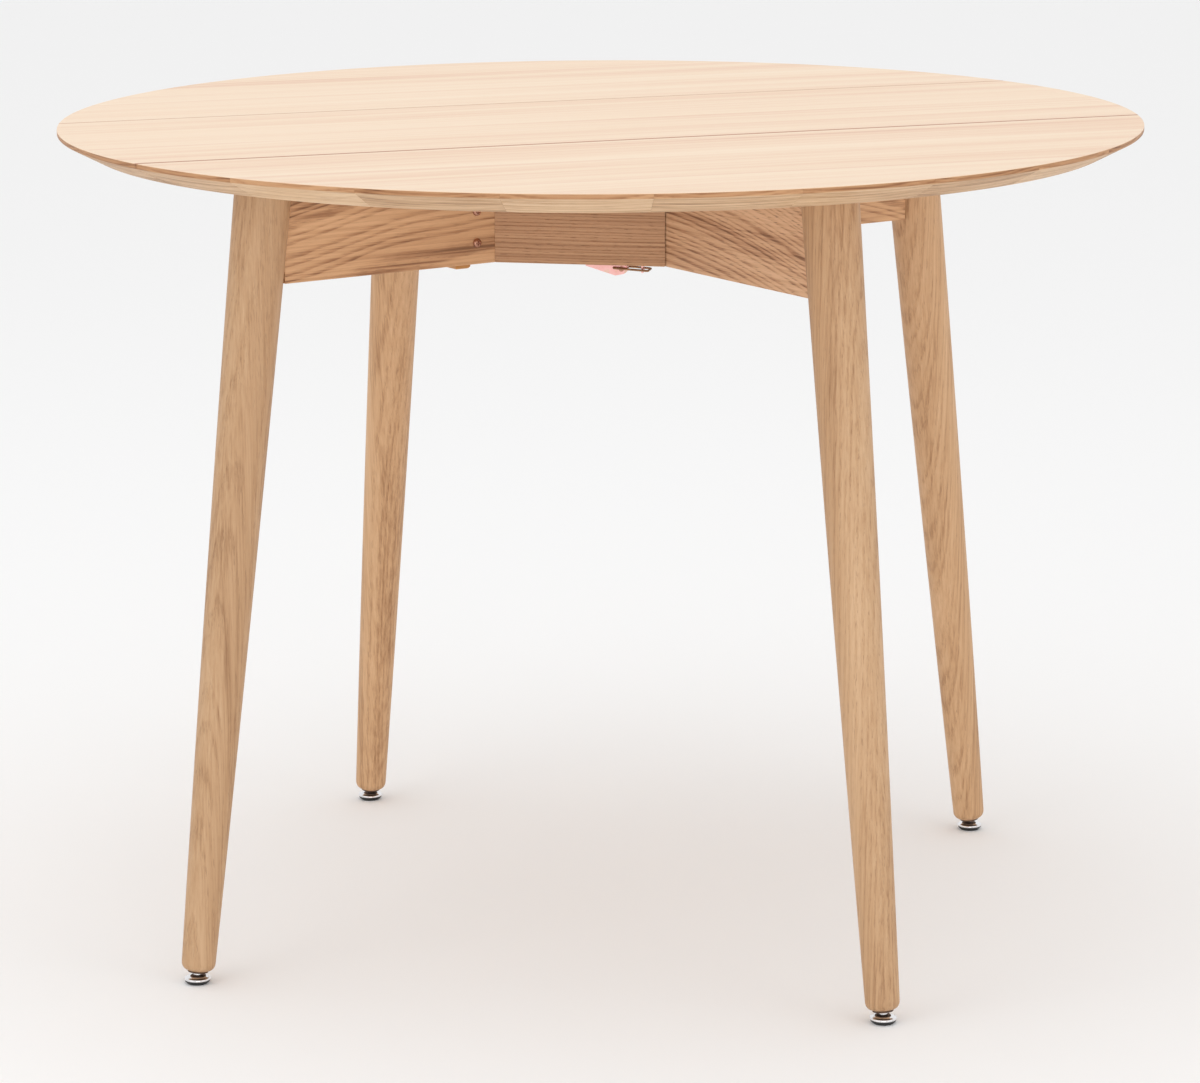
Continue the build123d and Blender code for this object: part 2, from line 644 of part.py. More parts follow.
def make_gate_hinge_plate(turns, fixed):
    """One plate of a gate hinge with its share of the knuckles."""
    pitch = HINGE_HEIGHT / KNUCKLES
    own = range(0, KNUCKLES, 2) if fixed else range(1, KNUCKLES, 2)
    with BuildPart() as plate:
        for turn in turns:
            clear = KNUCKLE_RADIUS + KNUCKLE_GAP + HINGE_PLATE / 10
            leaf = hinge_outline(rail_plane(HINGE_BOTTOM, turn), clear, HINGE_REACH, fixed)
            extrude(leaf, amount=HINGE_HEIGHT)
            for station in own:
                level = rail_plane(HINGE_BOTTOM + station * pitch + KNUCKLE_GAP / 2, turn)
                extrude(hinge_outline(level, 0, clear + 1, fixed), amount=pitch - KNUCKLE_GAP)
                with BuildSketch(level):
                    with Locations((PIN_AT, PIN_AT)):
                        Circle(KNUCKLE_RADIUS)
                extrude(amount=pitch - KNUCKLE_GAP)
            with BuildSketch(rail_plane(HINGE_BOTTOM, turn)):
                with Locations((PIN_AT, PIN_AT)):
                    Circle(HINGE_PIN_RADIUS + RUNNING)
            extrude(amount=HINGE_HEIGHT, mode=Mode.SUBTRACT)
            holes(hinge_screw_places(turn, fixed), HINGE_PLATE)
    return plate


finish(make_gate_hinge_plate((0, 180), True), "gate_hinge_fixed_plates")

with BuildPart() as gate_pins:
    for turn in TURNS.values():
        with BuildSketch(rail_plane(HINGE_BOTTOM, turn)):
            with Locations((PIN_AT, PIN_AT)):
                Circle(HINGE_PIN_RADIUS)
        extrude(amount=HINGE_HEIGHT)
finish(gate_pins, "gate_hinge_pins")


# ---- fold stops, where the gates come to rest under the strip ----
def folded_face(y, gap):
    """x of a line parallel to a folded gate arm's face, that far short of it, at a given y."""
    fold = radians(GATE_FOLD)
    normal = (-sin(fold), cos(fold))
    offset = gap - (PIN_AT - RAIL_FACE)
    start = (PIN_AT + offset * normal[0], PIN_AT + offset * normal[1])
    return start[0] + (y - start[1]) / tan(fold)


near, far = STOP_REACH - STOP_WIDTH / 2, STOP_REACH + STOP_WIDTH / 2
with BuildPart() as fold_stops:
    for turn in TURNS.values():
        with BuildSketch(rail_plane(RAIL_BOTTOM - STOP_HANG, turn)):
            with BuildLine():
                Polyline(
                    (RAIL_FACE, near),
                    (folded_face(near, BUMPER_GAP + BUMPER_THICKNESS), near),
                    (folded_face(far, BUMPER_GAP + BUMPER_THICKNESS), far),
                    (RAIL_FACE, far),
                    close=True,
                )
            make_face()
        extrude(amount=STOP_HEIGHT)
    fillet(fold_stops.faces().group_by(Axis.Z)[0].edges(), STOP_ROUND)
    for turn in TURNS.values():
        holes(stop_screw_places(turn), STOP_SCREW, STOP_SCREW_RADIUS)
finish(fold_stops, "fold_stops")

with BuildPart() as bumpers:
    for turn in TURNS.values():
        deep, shallow = BUMPER_GAP + BUMPER_THICKNESS, BUMPER_GAP
        with BuildSketch(rail_plane(RAIL_BOTTOM + (STOP_HEIGHT - STOP_HANG - BUMPER_HEIGHT) / 2, turn)):
            with BuildLine():
                Polyline(
                    (folded_face(near, deep), near),
                    (folded_face(near, shallow), near),
                    (folded_face(far, shallow), far),
                    (folded_face(far, deep), far),
                    close=True,
                )
            make_face()
        extrude(amount=BUMPER_HEIGHT)
finish(bumpers, "fold_stop_bumpers")

with BuildPart() as stop_screws:
    for turn in TURNS.values():
        places = stop_screw_places(turn)
        screws(places, STOP_SCREW, STOP_SCREW_RADIUS, STOP_SCREW_HEAD_RADIUS, STOP_SCREW_HEAD_HEIGHT)
finish(stop_screws, "stop_screws")

with BuildPart() as frame_screws:
    for turn in TURNS.values():
        screws(hinge_screw_places(turn, True), HINGE_SCREW)
        screws(block_screw_places(turn), BLOCK_SCREW)
        screws(bracket_side_places(turn), BRACKET_SCREW)
        screws(bracket_top_places(turn), BRACKET_SCREW)
        screws(latch_base_screw_places(turn), LATCH_SCREW)
        screws(leaf_hinge_screw_places(turn, STRIP_EDGE, 1), LEAF_HINGE_SCREW)
finish(frame_screws, "frame_screws")

# ---- gates: an arm, its dowels, hinge plate, screws and top pad ----
for side, turn in TURNS.items():
    leg_angle = turn - 45
    with BuildPart() as arm:
        with BuildSketch(rail_plane(RAIL_BOTTOM, turn)):
            start = RAIL_FACE + GATE_END_GAP
            with Locations(((start + RAIL_REACH) / 2, 0)):
                Rectangle(RAIL_REACH - start, RAIL_THICKNESS)
        extrude(amount=GATE_TOP - RAIL_BOTTOM)
        add(make_leg_blank(leg_angle, UNDERSIDE, COPE_GAP), mode=Mode.SUBTRACT)
        dowel_holes(leg_angle)
        holes(hinge_screw_places(turn, False), HINGE_SCREW)
        holes(latch_hook_screw_places(turn), LATCH_SCREW)
    finish(arm, f"{side}_gate_arm")

    with BuildPart() as dowels:
        with BuildSketch(*dowel_places(leg_angle)):
            Circle(DOWEL_DIAMETER / 2)
        extrude(amount=DOWEL_LENGTH)
    finish(dowels, f"{side}_gate_dowels")

    finish(make_gate_hinge_plate((turn,), False), f"{side}_gate_hinge_plate")

    with BuildPart() as gate_screws:
        screws(hinge_screw_places(turn, False), HINGE_SCREW)
        screws(latch_hook_screw_places(turn), LATCH_SCREW)
    finish(gate_screws, f"{side}_gate_screws")

    with BuildPart() as pad:
        with BuildSketch(rail_plane(GATE_TOP, turn)):
            with Locations((PAD_REACH - PAD_LENGTH / 2, 0)):
                RectangleRounded(PAD_LENGTH, PAD_WIDTH, PAD_WIDTH / 4)
        extrude(amount=GATE_DROP - PAD_GAP)
    finish(pad, f"{side}_gate_pad")


# ---- toggle latches: base, rivet, lever and loop on the corner block, hook on the gate arm ----
def latch_side(turn, offset=0.0):
    """Upright plane along the latch: x along it, y the height above the floor."""
    across = Vector(0, -1, 0).rotate(Axis.Z, turn)
    return Plane(origin=across * (LATCH_LINE + offset), x_dir=heading(turn), z_dir=across)


def latch_point(point):
    """(along from the arm's face, below the rail's lower edge) as (X, height above the floor)."""
    return ARM_EDGE + point[0], LATCH_TOP - point[1]


for side, turn in TURNS.items():
    level = Plane(origin=(0, 0, LATCH_TOP - LATCH_PLATE), x_dir=heading(turn), z_dir=(0, 0, 1))
    with BuildPart() as base:
        end = LATCH_PIVOT[0] + EAR_RADIUS
        with BuildSketch(level):
            with Locations((ARM_EDGE + (LATCH_PLATE_START + end) / 2, -LATCH_LINE)):
                Rectangle(end - LATCH_PLATE_START, LATCH_PLATE_WIDTH)
        extrude(amount=LATCH_PLATE)
        split(bisect_by=facing(rail_plane(0, turn), 0, -(RAIL_FACE + BLOCK_GAP + 1), 90), keep=Keep.BOTTOM)
        for ear in (-1, 1):
            with BuildSketch(latch_side(turn, ear * (EAR_INSIDE + EAR_THICKNESS / 2))):
                with Locations(latch_point(LATCH_PIVOT)):
                    Circle(EAR_RADIUS)
                with Locations(latch_point((LATCH_PIVOT[0] - EAR_RADIUS, LATCH_PLATE + 0.25))):
                    Rectangle(2 * EAR_RADIUS, 0.5)
                make_hull()
            extrude(amount=EAR_THICKNESS / 2, both=True)
        with BuildSketch(latch_side(turn)):
            with Locations(latch_point(LATCH_PIVOT)):
                Circle(RIVET_RADIUS + RUNNING)
        extrude(amount=EAR_INSIDE + EAR_THICKNESS, both=True, mode=Mode.SUBTRACT)
        holes(latch_base_screw_places(turn), LATCH_PLATE)
    finish(base, f"latch_base_{side}")

    with BuildPart() as lever:
        with BuildSketch(latch_side(turn)) as shape:
            with Locations(latch_point(LATCH_PIVOT)):
                Circle(EAR_RADIUS + 0.7)
            with Locations(latch_point(LEVER_TIP)):
                Circle(0.6)
            with Locations(latch_point(LEVER_BELLY)):
                Circle(2.8)
            make_hull()
        extrude(amount=LEVER_HALF_WIDTH, both=True)
        with BuildSketch(latch_side(turn)):
            add(shape.sketch_local)
            offset(amount=-LEVER_SHEET, mode=Mode.REPLACE)
            with Locations(latch_point(((LEVER_TIP[0] + LATCH_PIVOT[0]) / 2, LOOP_PIVOT[1] - 3))):
                Rectangle(LATCH_PIVOT[0] - LEVER_TIP[0] - 6, 3)
        extrude(amount=LEVER_HALF_WIDTH - LEVER_SHEET, both=True, mode=Mode.SUBTRACT)
        with BuildSketch(latch_side(turn)):
            with Locations(latch_point(LATCH_PIVOT)):
                Circle(RIVET_RADIUS + RUNNING)
            with Locations(latch_point(LOOP_PIVOT)):
                Circle(WIRE_RADIUS + RUNNING)
        extrude(amount=LEVER_HALF_WIDTH, both=True, mode=Mode.SUBTRACT)
    finish(lever, f"latch_lever_{side}")

    pivot = latch_side(turn).from_local_coords((*latch_point(LOOP_PIVOT), 0))
    bar = latch_side(turn).from_local_coords((*latch_point((LOOP_BAR, LOOP_BAR_DEPTH)), 0))
    along = (bar - pivot).normalized()
    ring_plane = Plane(origin=(pivot + bar) * 0.5, x_dir=along, z_dir=along.cross(latch_side(turn).z_dir))
    with BuildPart() as loop:
        with BuildSketch(ring_plane) as ring:
            RectangleRounded((bar - pivot).length, 2 * LOOP_HALF_WIDTH, 2 * WIRE_RADIUS)
        path = ring.sketch.face().outer_wire()
        with BuildSketch(Plane(origin=path @ 0, z_dir=path % 0)) as wire_section:
            Circle(WIRE_RADIUS)
        sweep(wire_section.sketch, path=path)
    finish(loop, f"latch_loop_{side}")

    with BuildPart() as hook:
        with BuildSketch(level):
            with Locations((ARM_EDGE + HOOK_START + HOOK_LENGTH / 2, -LATCH_LINE)):
                Rectangle(HOOK_LENGTH, 2 * HOOK_HALF_WIDTH + 2)
        extrude(amount=LATCH_PLATE)
        with BuildSketch(latch_side(turn)):
            with Locations(latch_point((HOOK_START + LATCH_PLATE / 2, HOOK_DEPTH / 2))):
                Rectangle(LATCH_PLATE, HOOK_DEPTH)
        extrude(amount=HOOK_HALF_WIDTH, both=True)
        holes(latch_hook_screw_places(turn), LATCH_PLATE)
    finish(hook, f"latch_hook_{side}")

with BuildPart() as rivets:
    for turn in TURNS.values():
        with BuildSketch(latch_side(turn)):
            with Locations(latch_point(LATCH_PIVOT)):
                Circle(RIVET_RADIUS)
        extrude(amount=EAR_INSIDE + EAR_THICKNESS, both=True)
        for end in (-1, 1):
            with BuildSketch(latch_side(turn, end * (EAR_INSIDE + EAR_THICKNESS + 0.35))):
                with Locations(latch_point(LATCH_PIVOT)):
                    Circle(RIVET_RADIUS + 1)
            extrude(amount=0.35, both=True)
finish(rivets, "latch_rivets")


# ---- threaded inserts and levelling glides ----
def make_insert(angles):
    """Threaded bush in the leg's end, with a collar under the wood."""
    with BuildPart() as insert:
        for angle in angles:
            foot, up, across = leg_axis(angle)
            end = LEG_END_HEIGHT / up.Z
            with BuildSketch(Plane(origin=foot + up * (end - COLLAR_THICKNESS), x_dir=across, z_dir=up)):
                Circle(COLLAR_RADIUS)
            extrude(amount=COLLAR_THICKNESS)
            with BuildSketch(Plane(origin=foot + up * end, x_dir=across, z_dir=up)):
                Circle(INSERT_RADIUS)
            extrude(amount=INSERT_LENGTH)
            with BuildSketch(Plane(origin=foot, x_dir=across, z_dir=up)):
                Circle(STUD_RADIUS + RUNNING)
            extrude(amount=end + INSERT_LENGTH, mode=Mode.SUBTRACT)
    return insert


finish(make_insert([LEG_ANGLES[name] for name in FIXED_LEGS]), "fixed_leg_inserts")
for side, turn in TURNS.items():
    finish(make_insert([turn - 45]), f"{side}_gate_insert")

for name, angle in LEG_ANGLES.items():
    foot, up, across = leg_axis(angle)
    dish_middle = foot + up * ((DISH_TOP + DISH_BOTTOM) / 2 / up.Z)
    axis_point = Vector(dish_middle.X, dish_middle.Y, 0)
    section = Plane(origin=axis_point, x_dir=across, z_dir=across.cross(Vector(0, 0, 1)))
    with BuildPart() as glide:
        with BuildSketch(section):
            with BuildLine():
                Line((0, DISH_BOTTOM), (DISH_RADIUS, DISH_BOTTOM))
                Line((DISH_RADIUS, DISH_BOTTOM), (DISH_RADIUS, DISH_RIM_TOP))
                ThreePointArc(
                    (DISH_RADIUS, DISH_RIM_TOP),
                    (DISH_RADIUS * 0.72, (DISH_RIM_TOP + DISH_TOP) / 2 + 0.3),
                    (STUD_RADIUS, DISH_TOP),
                )
                Polyline((STUD_RADIUS, DISH_TOP), (0, DISH_TOP), (0, DISH_BOTTOM))
            make_face()
        revolve(axis=Axis(axis_point, (0, 0, 1)))
        with BuildSketch(Plane(origin=dish_middle, x_dir=across, z_dir=up)):
            Circle(STUD_RADIUS)
        extrude(amount=STUD_LENGTH)
    finish(glide, f"{name}_glide")

    with BuildPart() as glide_pad:
        with BuildSketch(section):
            with BuildLine():
                Polyline(
                    (0, 0),
                    (PAD_FOOT_RADIUS, 0),
                    (PAD_TOP_RADIUS, DISH_BOTTOM * 0.7),
                    (PAD_TOP_RADIUS, DISH_BOTTOM),
                    (0, DISH_BOTTOM),
                    close=True,
                )
            make_face()
        revolve(axis=Axis(axis_point, (0, 0, 1)))
    finish(glide_pad, f"{name}_glide_pad")
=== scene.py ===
"""A round pale oak gateleg table on a plain floor: what each of its pieces looks like.

Wooden parts are turned or planed surfaces worked out on grids, with oak grain that runs through them
like the real board's. Hinges, latches, blocks and stops keep the frame's own shapes and take a finish.
"""
import json

import bpy
import numpy as np
from mathutils import Matrix, Vector


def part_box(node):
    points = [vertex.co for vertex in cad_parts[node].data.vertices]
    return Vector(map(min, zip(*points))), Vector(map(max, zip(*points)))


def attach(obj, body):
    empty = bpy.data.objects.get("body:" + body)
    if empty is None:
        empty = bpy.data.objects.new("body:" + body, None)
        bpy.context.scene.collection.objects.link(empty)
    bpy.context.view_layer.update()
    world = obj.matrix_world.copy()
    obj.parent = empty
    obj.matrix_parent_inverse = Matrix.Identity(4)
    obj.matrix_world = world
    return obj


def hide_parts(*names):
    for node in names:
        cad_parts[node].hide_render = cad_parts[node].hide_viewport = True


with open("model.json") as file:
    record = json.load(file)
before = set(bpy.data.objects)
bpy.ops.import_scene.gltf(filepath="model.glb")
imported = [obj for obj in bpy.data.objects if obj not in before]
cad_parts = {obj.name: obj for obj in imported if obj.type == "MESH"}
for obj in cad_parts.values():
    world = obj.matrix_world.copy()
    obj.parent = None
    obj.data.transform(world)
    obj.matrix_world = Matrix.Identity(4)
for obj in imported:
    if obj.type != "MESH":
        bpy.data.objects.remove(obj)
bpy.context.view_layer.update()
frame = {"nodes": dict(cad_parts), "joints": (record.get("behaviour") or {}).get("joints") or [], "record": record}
NODES = frame["nodes"]
JOINTS = {joint["name"]: joint for joint in frame["joints"]}
BODIES = frame["record"]["behaviour"]["bodies"]
BODY_OF = {node: body for body, nodes in BODIES.items() for node in nodes}
UP = np.array([0.0, 0.0, 1.0])
MM = 0.001


def low(node):
    return np.array(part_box(node)[0])


def high(node):
    return np.array(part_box(node)[1])


# ---- sizes read from the frame ----
TOP = high("strip_veneer")[2]
VENEER_BOTTOM = low("strip_veneer")[2]
UNDERSIDE = low("strip_lipping")[2]
SEAM = float(np.hypot(*JOINTS["leaf_front_lift"]["pos_m"][:2]))
STRIP_WAY = -np.array(JOINTS["leaf_front_lift"]["axis"])
ACROSS_WAY = np.cross(UP, STRIP_WAY)
RAIL_BOTTOM = low("cross_rail")[2]
GATE_TOP = high("front_gate_arm")[2]


def points_of(node):
    """All corners of a CAD node's mesh."""
    mesh = NODES[node].data
    spots = np.empty(len(mesh.vertices) * 3)
    mesh.vertices.foreach_get("co", spots)
    return spots.reshape(-1, 3)


def lumps_of(node):
    """The separate lumps of a CAD node, each as an array of its corners."""
    mesh = NODES[node].data
    corners = np.empty(len(mesh.loops), int)
    mesh.loops.foreach_get("vertex_index", corners)
    spots, same = np.unique(np.round(points_of(node), 6), axis=0, return_inverse=True)
    triangles = same.ravel()[corners].reshape(-1, 3)
    label = np.arange(len(spots))
    while True:
        least = label[triangles].min(1)
        newer = label.copy()
        for side in range(3):
            np.minimum.at(newer, triangles[:, side], least)
        newer = newer[newer]
        if (newer == label).all():
            break
        label = newer
    return [spots[label == one] for one in np.unique(label)]


def reach_of(spots):
    """How far points lie from the middle of the top."""
    return np.hypot(spots[:, 0], spots[:, 1])


NEAR = MM / 10  # points this close count as level with each other
FACE_SPOTS = points_of("front_leaf_veneer")
EDGE_SPOTS = points_of("front_leaf_lipping")
RIM = float(reach_of(FACE_SPOTS).max())
SEAM_GAP = 2 * float(np.abs(FACE_SPOTS @ ACROSS_WAY).min() - SEAM)
LIPPING_IN = float(reach_of(points_of("front_leaf_core")).max())
BAND_BOTTOM = float(EDGE_SPOTS[reach_of(EDGE_SPOTS) > RIM - NEAR][:, 2].min())
UNDER_RIM = float(reach_of(EDGE_SPOTS)[EDGE_SPOTS[:, 2] < UNDERSIDE + NEAR].max())
LEAF_PIECES = len(lumps_of("front_leaf_lipping"))
STRIP_PIECES = len(lumps_of("strip_lipping")) // 2


# ---- meshes from grids ----
SHARP_FOLD = np.radians(40)


class Skin:
    """Gathers closed surfaces, each worked out on a grid, and makes one piece of them."""

    def __init__(self):
        self.spots, self.quads, self.caps, self.count = [], [], [], 0

    def grid(self, spots, rows_meet=False):
        """A grid of points becomes quads. Its columns meet round the back, its rows may meet too, and
        otherwise its first and last rows are closed by flat caps."""
        spots = np.asarray(spots, float)
        rows, columns = spots.shape[:2]
        number = np.arange(rows * columns).reshape(rows, columns)
        down = np.vstack([number, number[:1]]) if rows_meet else number
        full = np.hstack([down, down[:, :1]])
        quads = np.stack([full[:-1, :-1], full[:-1, 1:], full[1:, 1:], full[1:, :-1]], -1).reshape(-1, 4)
        caps = [] if rows_meet else [number[0][::-1], number[-1]]
        self.add(spots.reshape(-1, 3), quads, caps)

    def add(self, spots, quads, caps=()):
        """Adds a closed surface. The volume it holds is the sum over its triangles, seen from its middle,
        and where that is below nothing the faces look inwards and are turned."""
        fans = [quads[:, [0, 1, 2]], quads[:, [0, 2, 3]]]
        fans += [np.stack([np.full(len(cap) - 2, cap[0]), cap[1:-1], cap[2:]], 1) for cap in caps]
        first, second, third = (spots - spots.mean(0))[np.vstack(fans)].transpose(1, 0, 2)
        if (np.cross(second, third) * first).sum() < 0:
            quads, caps = quads[:, ::-1], [cap[::-1] for cap in caps]
        self.spots.append(spots)
        self.quads.append(quads + self.count)
        self.caps += [cap + self.count for cap in caps]
        self.count += len(spots)

    def piece(self, name, material, node):
        """Makes the mesh object, which stands for a CAD node and rides on its body."""
        faces = np.vstack(self.quads).tolist() + [cap.tolist() for cap in self.caps]
        mesh = bpy.data.meshes.new(name)
        mesh.from_pydata(np.vstack(self.spots).tolist(), [], faces)
        mesh.validate()
        mesh.polygons.foreach_set("use_smooth", [True] * len(mesh.polygons))
        mesh.set_sharp_from_angle(angle=SHARP_FOLD)
        mesh.materials.append(material)
        thing = bpy.data.objects.new(name, mesh)
        bpy.context.scene.collection.objects.link(thing)
        weight = thing.modifiers.new("even_shading", "WEIGHTED_NORMAL")
        weight.mode = "FACE_AREA"
        weight.weight = 100
        weight.keep_sharp = True
        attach(thing, BODY_OF[node])
        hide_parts(node)


def unit(way):
    way = np.asarray(way, float)
    return way / np.linalg.norm(way)


def side_ways(way):
    """Two unit vectors square to a direction."""
    way = unit(way)
    first = unit(np.cross(way, UP if abs(way[2]) < 0.9 else np.array([1.0, 0.0, 0.0])))
    return first, np.cross(way, first)


def soft_corner(start, corner, end, radius, steps=5):
    """Points of a round that replaces the corner between two straight lines."""
    corner = np.asarray(corner, float)
    a, b = unit(np.subtract(start, corner)), unit(np.subtract(end, corner))
    t = np.linspace(0, 1, steps)[:, None]
    p, q = corner + a * radius, corner + b * radius
    return (1 - t) ** 2 * p + 2 * t * (1 - t) * corner + t**2 * q


def softened(outline, radii, closed=True):
    """An outline whose corners are rounded, each by its own radius."""
    outline = [np.asarray(p, float) for p in outline]
    points = []
    for i, (corner, radius) in enumerate(zip(outline, radii)):
        if radius <= 0 or (not closed and i in (0, len(outline) - 1)):
            points.append(corner[None])
        else:
            points.append(soft_corner(outline[i - 1], corner, outline[(i + 1) % len(outline)], radius))
    return np.vstack(points)


def lathe(profile, origin, way, around=48):
    """A profile of (radius, distance along the axis) turned round the axis."""
    profile = np.asarray(profile, float)
    first, second = side_ways(way)
    turn = np.linspace(0, 2 * np.pi, around, endpoint=False)
    ring = np.cos(turn)[:, None] * first + np.sin(turn)[:, None] * second
    return np.asarray(origin) + profile[:, :1, None] * ring + profile[:, 1:, None] * unit(way)


# ---- shader arithmetic ----
class Wire:
    """One shader socket. Arithmetic on it adds Math nodes."""

    def __init__(self, recipe, socket):
        self.recipe, self.socket = recipe, socket

    def math(self, operation, *others):
        return self.recipe.math(operation, self, *others)

    def __add__(self, other):
        return self.recipe.math("ADD", self, other)

    def __radd__(self, other):
        return self.recipe.math("ADD", other, self)

    def __sub__(self, other):
        return self.recipe.math("SUBTRACT", self, other)

    def __rsub__(self, other):
        return self.recipe.math("SUBTRACT", other, self)

    def __mul__(self, other):
        return self.recipe.math("MULTIPLY", self, other)

    def __rmul__(self, other):
        return self.recipe.math("MULTIPLY", other, self)

    def __truediv__(self, other):
        return self.recipe.math("DIVIDE", self, other)


class Recipe:
    """One material: adds nodes, and feeds the shader."""

    def __init__(self, name, **shader):
        self.material = bpy.data.materials.new(name)
        self.material.use_nodes = True
        self.nodes = self.material.node_tree.nodes
        self.links = self.material.node_tree.links
        self.shader = self.nodes["Principled BSDF"]
        for socket, value in shader.items():
            self.set(self.shader.inputs[socket.replace("_", " ")], value)

    def set(self, socket, value):
        if isinstance(value, Wire):
            self.links.new(value.socket, socket)
        elif isinstance(value, (tuple, list)) and len(value) == 3 and socket.type == "RGBA":
            socket.default_value = (*value, 1.0)
        else:
            socket.default_value = value

    def node(self, kind, settings, inputs, output=0):
        """Adds a node: its settings first, then the values or links of its sockets."""
        made = self.nodes.new(kind)
        stops = settings.pop("stops", None)
        for key, value in settings.items():
            setattr(made, key, value)
        if stops:
            ramp = made.color_ramp
            while len(ramp.elements) < len(stops):
                ramp.elements.new(0.5)
            for element, (place, colour) in zip(ramp.elements, stops):
                element.position = place
                element.color = (*colour, 1.0)
        for key, value in inputs.items():
            self.set(made.inputs[key], value)
        return Wire(self, made.outputs[output])

    def math(self, operation, *values):
        return self.node("ShaderNodeMath", {"operation": operation}, dict(enumerate(values)))

    def place(self):
        """Where the surface is, in metres."""
        return self.node("ShaderNodeTexCoord", {}, {}, "Object")

    def dot(self, vector, way):
        sockets = {0: vector, 1: tuple(way)}
        return self.node("ShaderNodeVectorMath", {"operation": "DOT_PRODUCT"}, sockets, "Value")

    def facing(self, way):
        """How far the surface looks along a direction, from -1 to 1."""
        return self.dot(self.node("ShaderNodeTexCoord", {}, {}, "Normal"), way)

    def along(self, way, origin=(0, 0, 0)):
        """Distance along a direction from a point, in metres."""
        sockets = {0: self.place(), 1: tuple(origin)}
        return self.dot(self.node("ShaderNodeVectorMath", {"operation": "SUBTRACT"}, sockets), way)

    def vector(self, x, y, z):
        return self.node("ShaderNodeCombineXYZ", {}, {0: x, 1: y, 2: z})

    def noise(self, vector, scale=1.0, detail=2.0, roughness=0.5):
        sockets = {"Vector": vector, "Scale": scale, "Detail": detail, "Roughness": roughness}
        return self.node("ShaderNodeTexNoise", {"noise_dimensions": "3D"}, sockets)

    def step(self, value, start, end):
        """Rises smoothly from 0 at start to 1 at end."""
        return self.node(
            "ShaderNodeMapRange",
            {"interpolation_type": "SMOOTHSTEP"},
            {"Value": value, "From Min": start, "From Max": end, "To Min": 0.0, "To Max": 1.0},
        )

    def mix(self, share, first, second, blend="MIX"):
        """Mixes two colours."""
        settings = {"data_type": "RGBA", "blend_type": blend, "clamp_factor": True}
        return self.node("ShaderNodeMix", settings, {0: share, 6: first, 7: second}, 2)

    def ramp(self, value, stops):
        return self.node("ShaderNodeValToRGB", {"stops": stops}, {"Fac": value})

    def relief(self, height, depth, strength=1.0):
        """Sends a height to the shader's normal."""
        bump = self.node("ShaderNodeBump", {}, {"Strength": strength, "Distance": depth, "Height": height})
        self.set(self.shader.inputs["Normal"], bump)


def shade(red, green, blue):
    """A colour given as it looks on paper, 0 to 255, as the light it reflects."""
    parts = np.array([red, green, blue]) / 255
    return tuple(np.where(parts <= 0.04045, parts / 12.92, ((parts + 0.055) / 1.055) ** 2.4).tolist())


# ---- oak ----
LACQUER_SHINE = 0.35
OAK_ROUGHNESS = 0.5
# each oak from its palest to its darkest, at these amounts of dark grain
TONE_STOPS = (0.0, 0.45, 0.8, 1.0)
LEG_OAK = (shade(216, 178, 139), shade(199, 158, 118), shade(166, 124, 87), shade(128, 90, 60))
RAIL_OAK = (shade(222, 178, 136), shade(202, 156, 115), shade(170, 124, 88), shade(130, 90, 62))
GATE_OAK = (shade(226, 186, 150), shade(210, 168, 131), shade(178, 132, 98), shade(132, 92, 66))
# painted shade: a darker copy of the rail oak for the spacer boards, which sit deep under the top
SHADED_SPACER_OAK = (shade(202, 160, 122), shade(184, 141, 105), shade(156, 113, 80), shade(118, 80, 56))


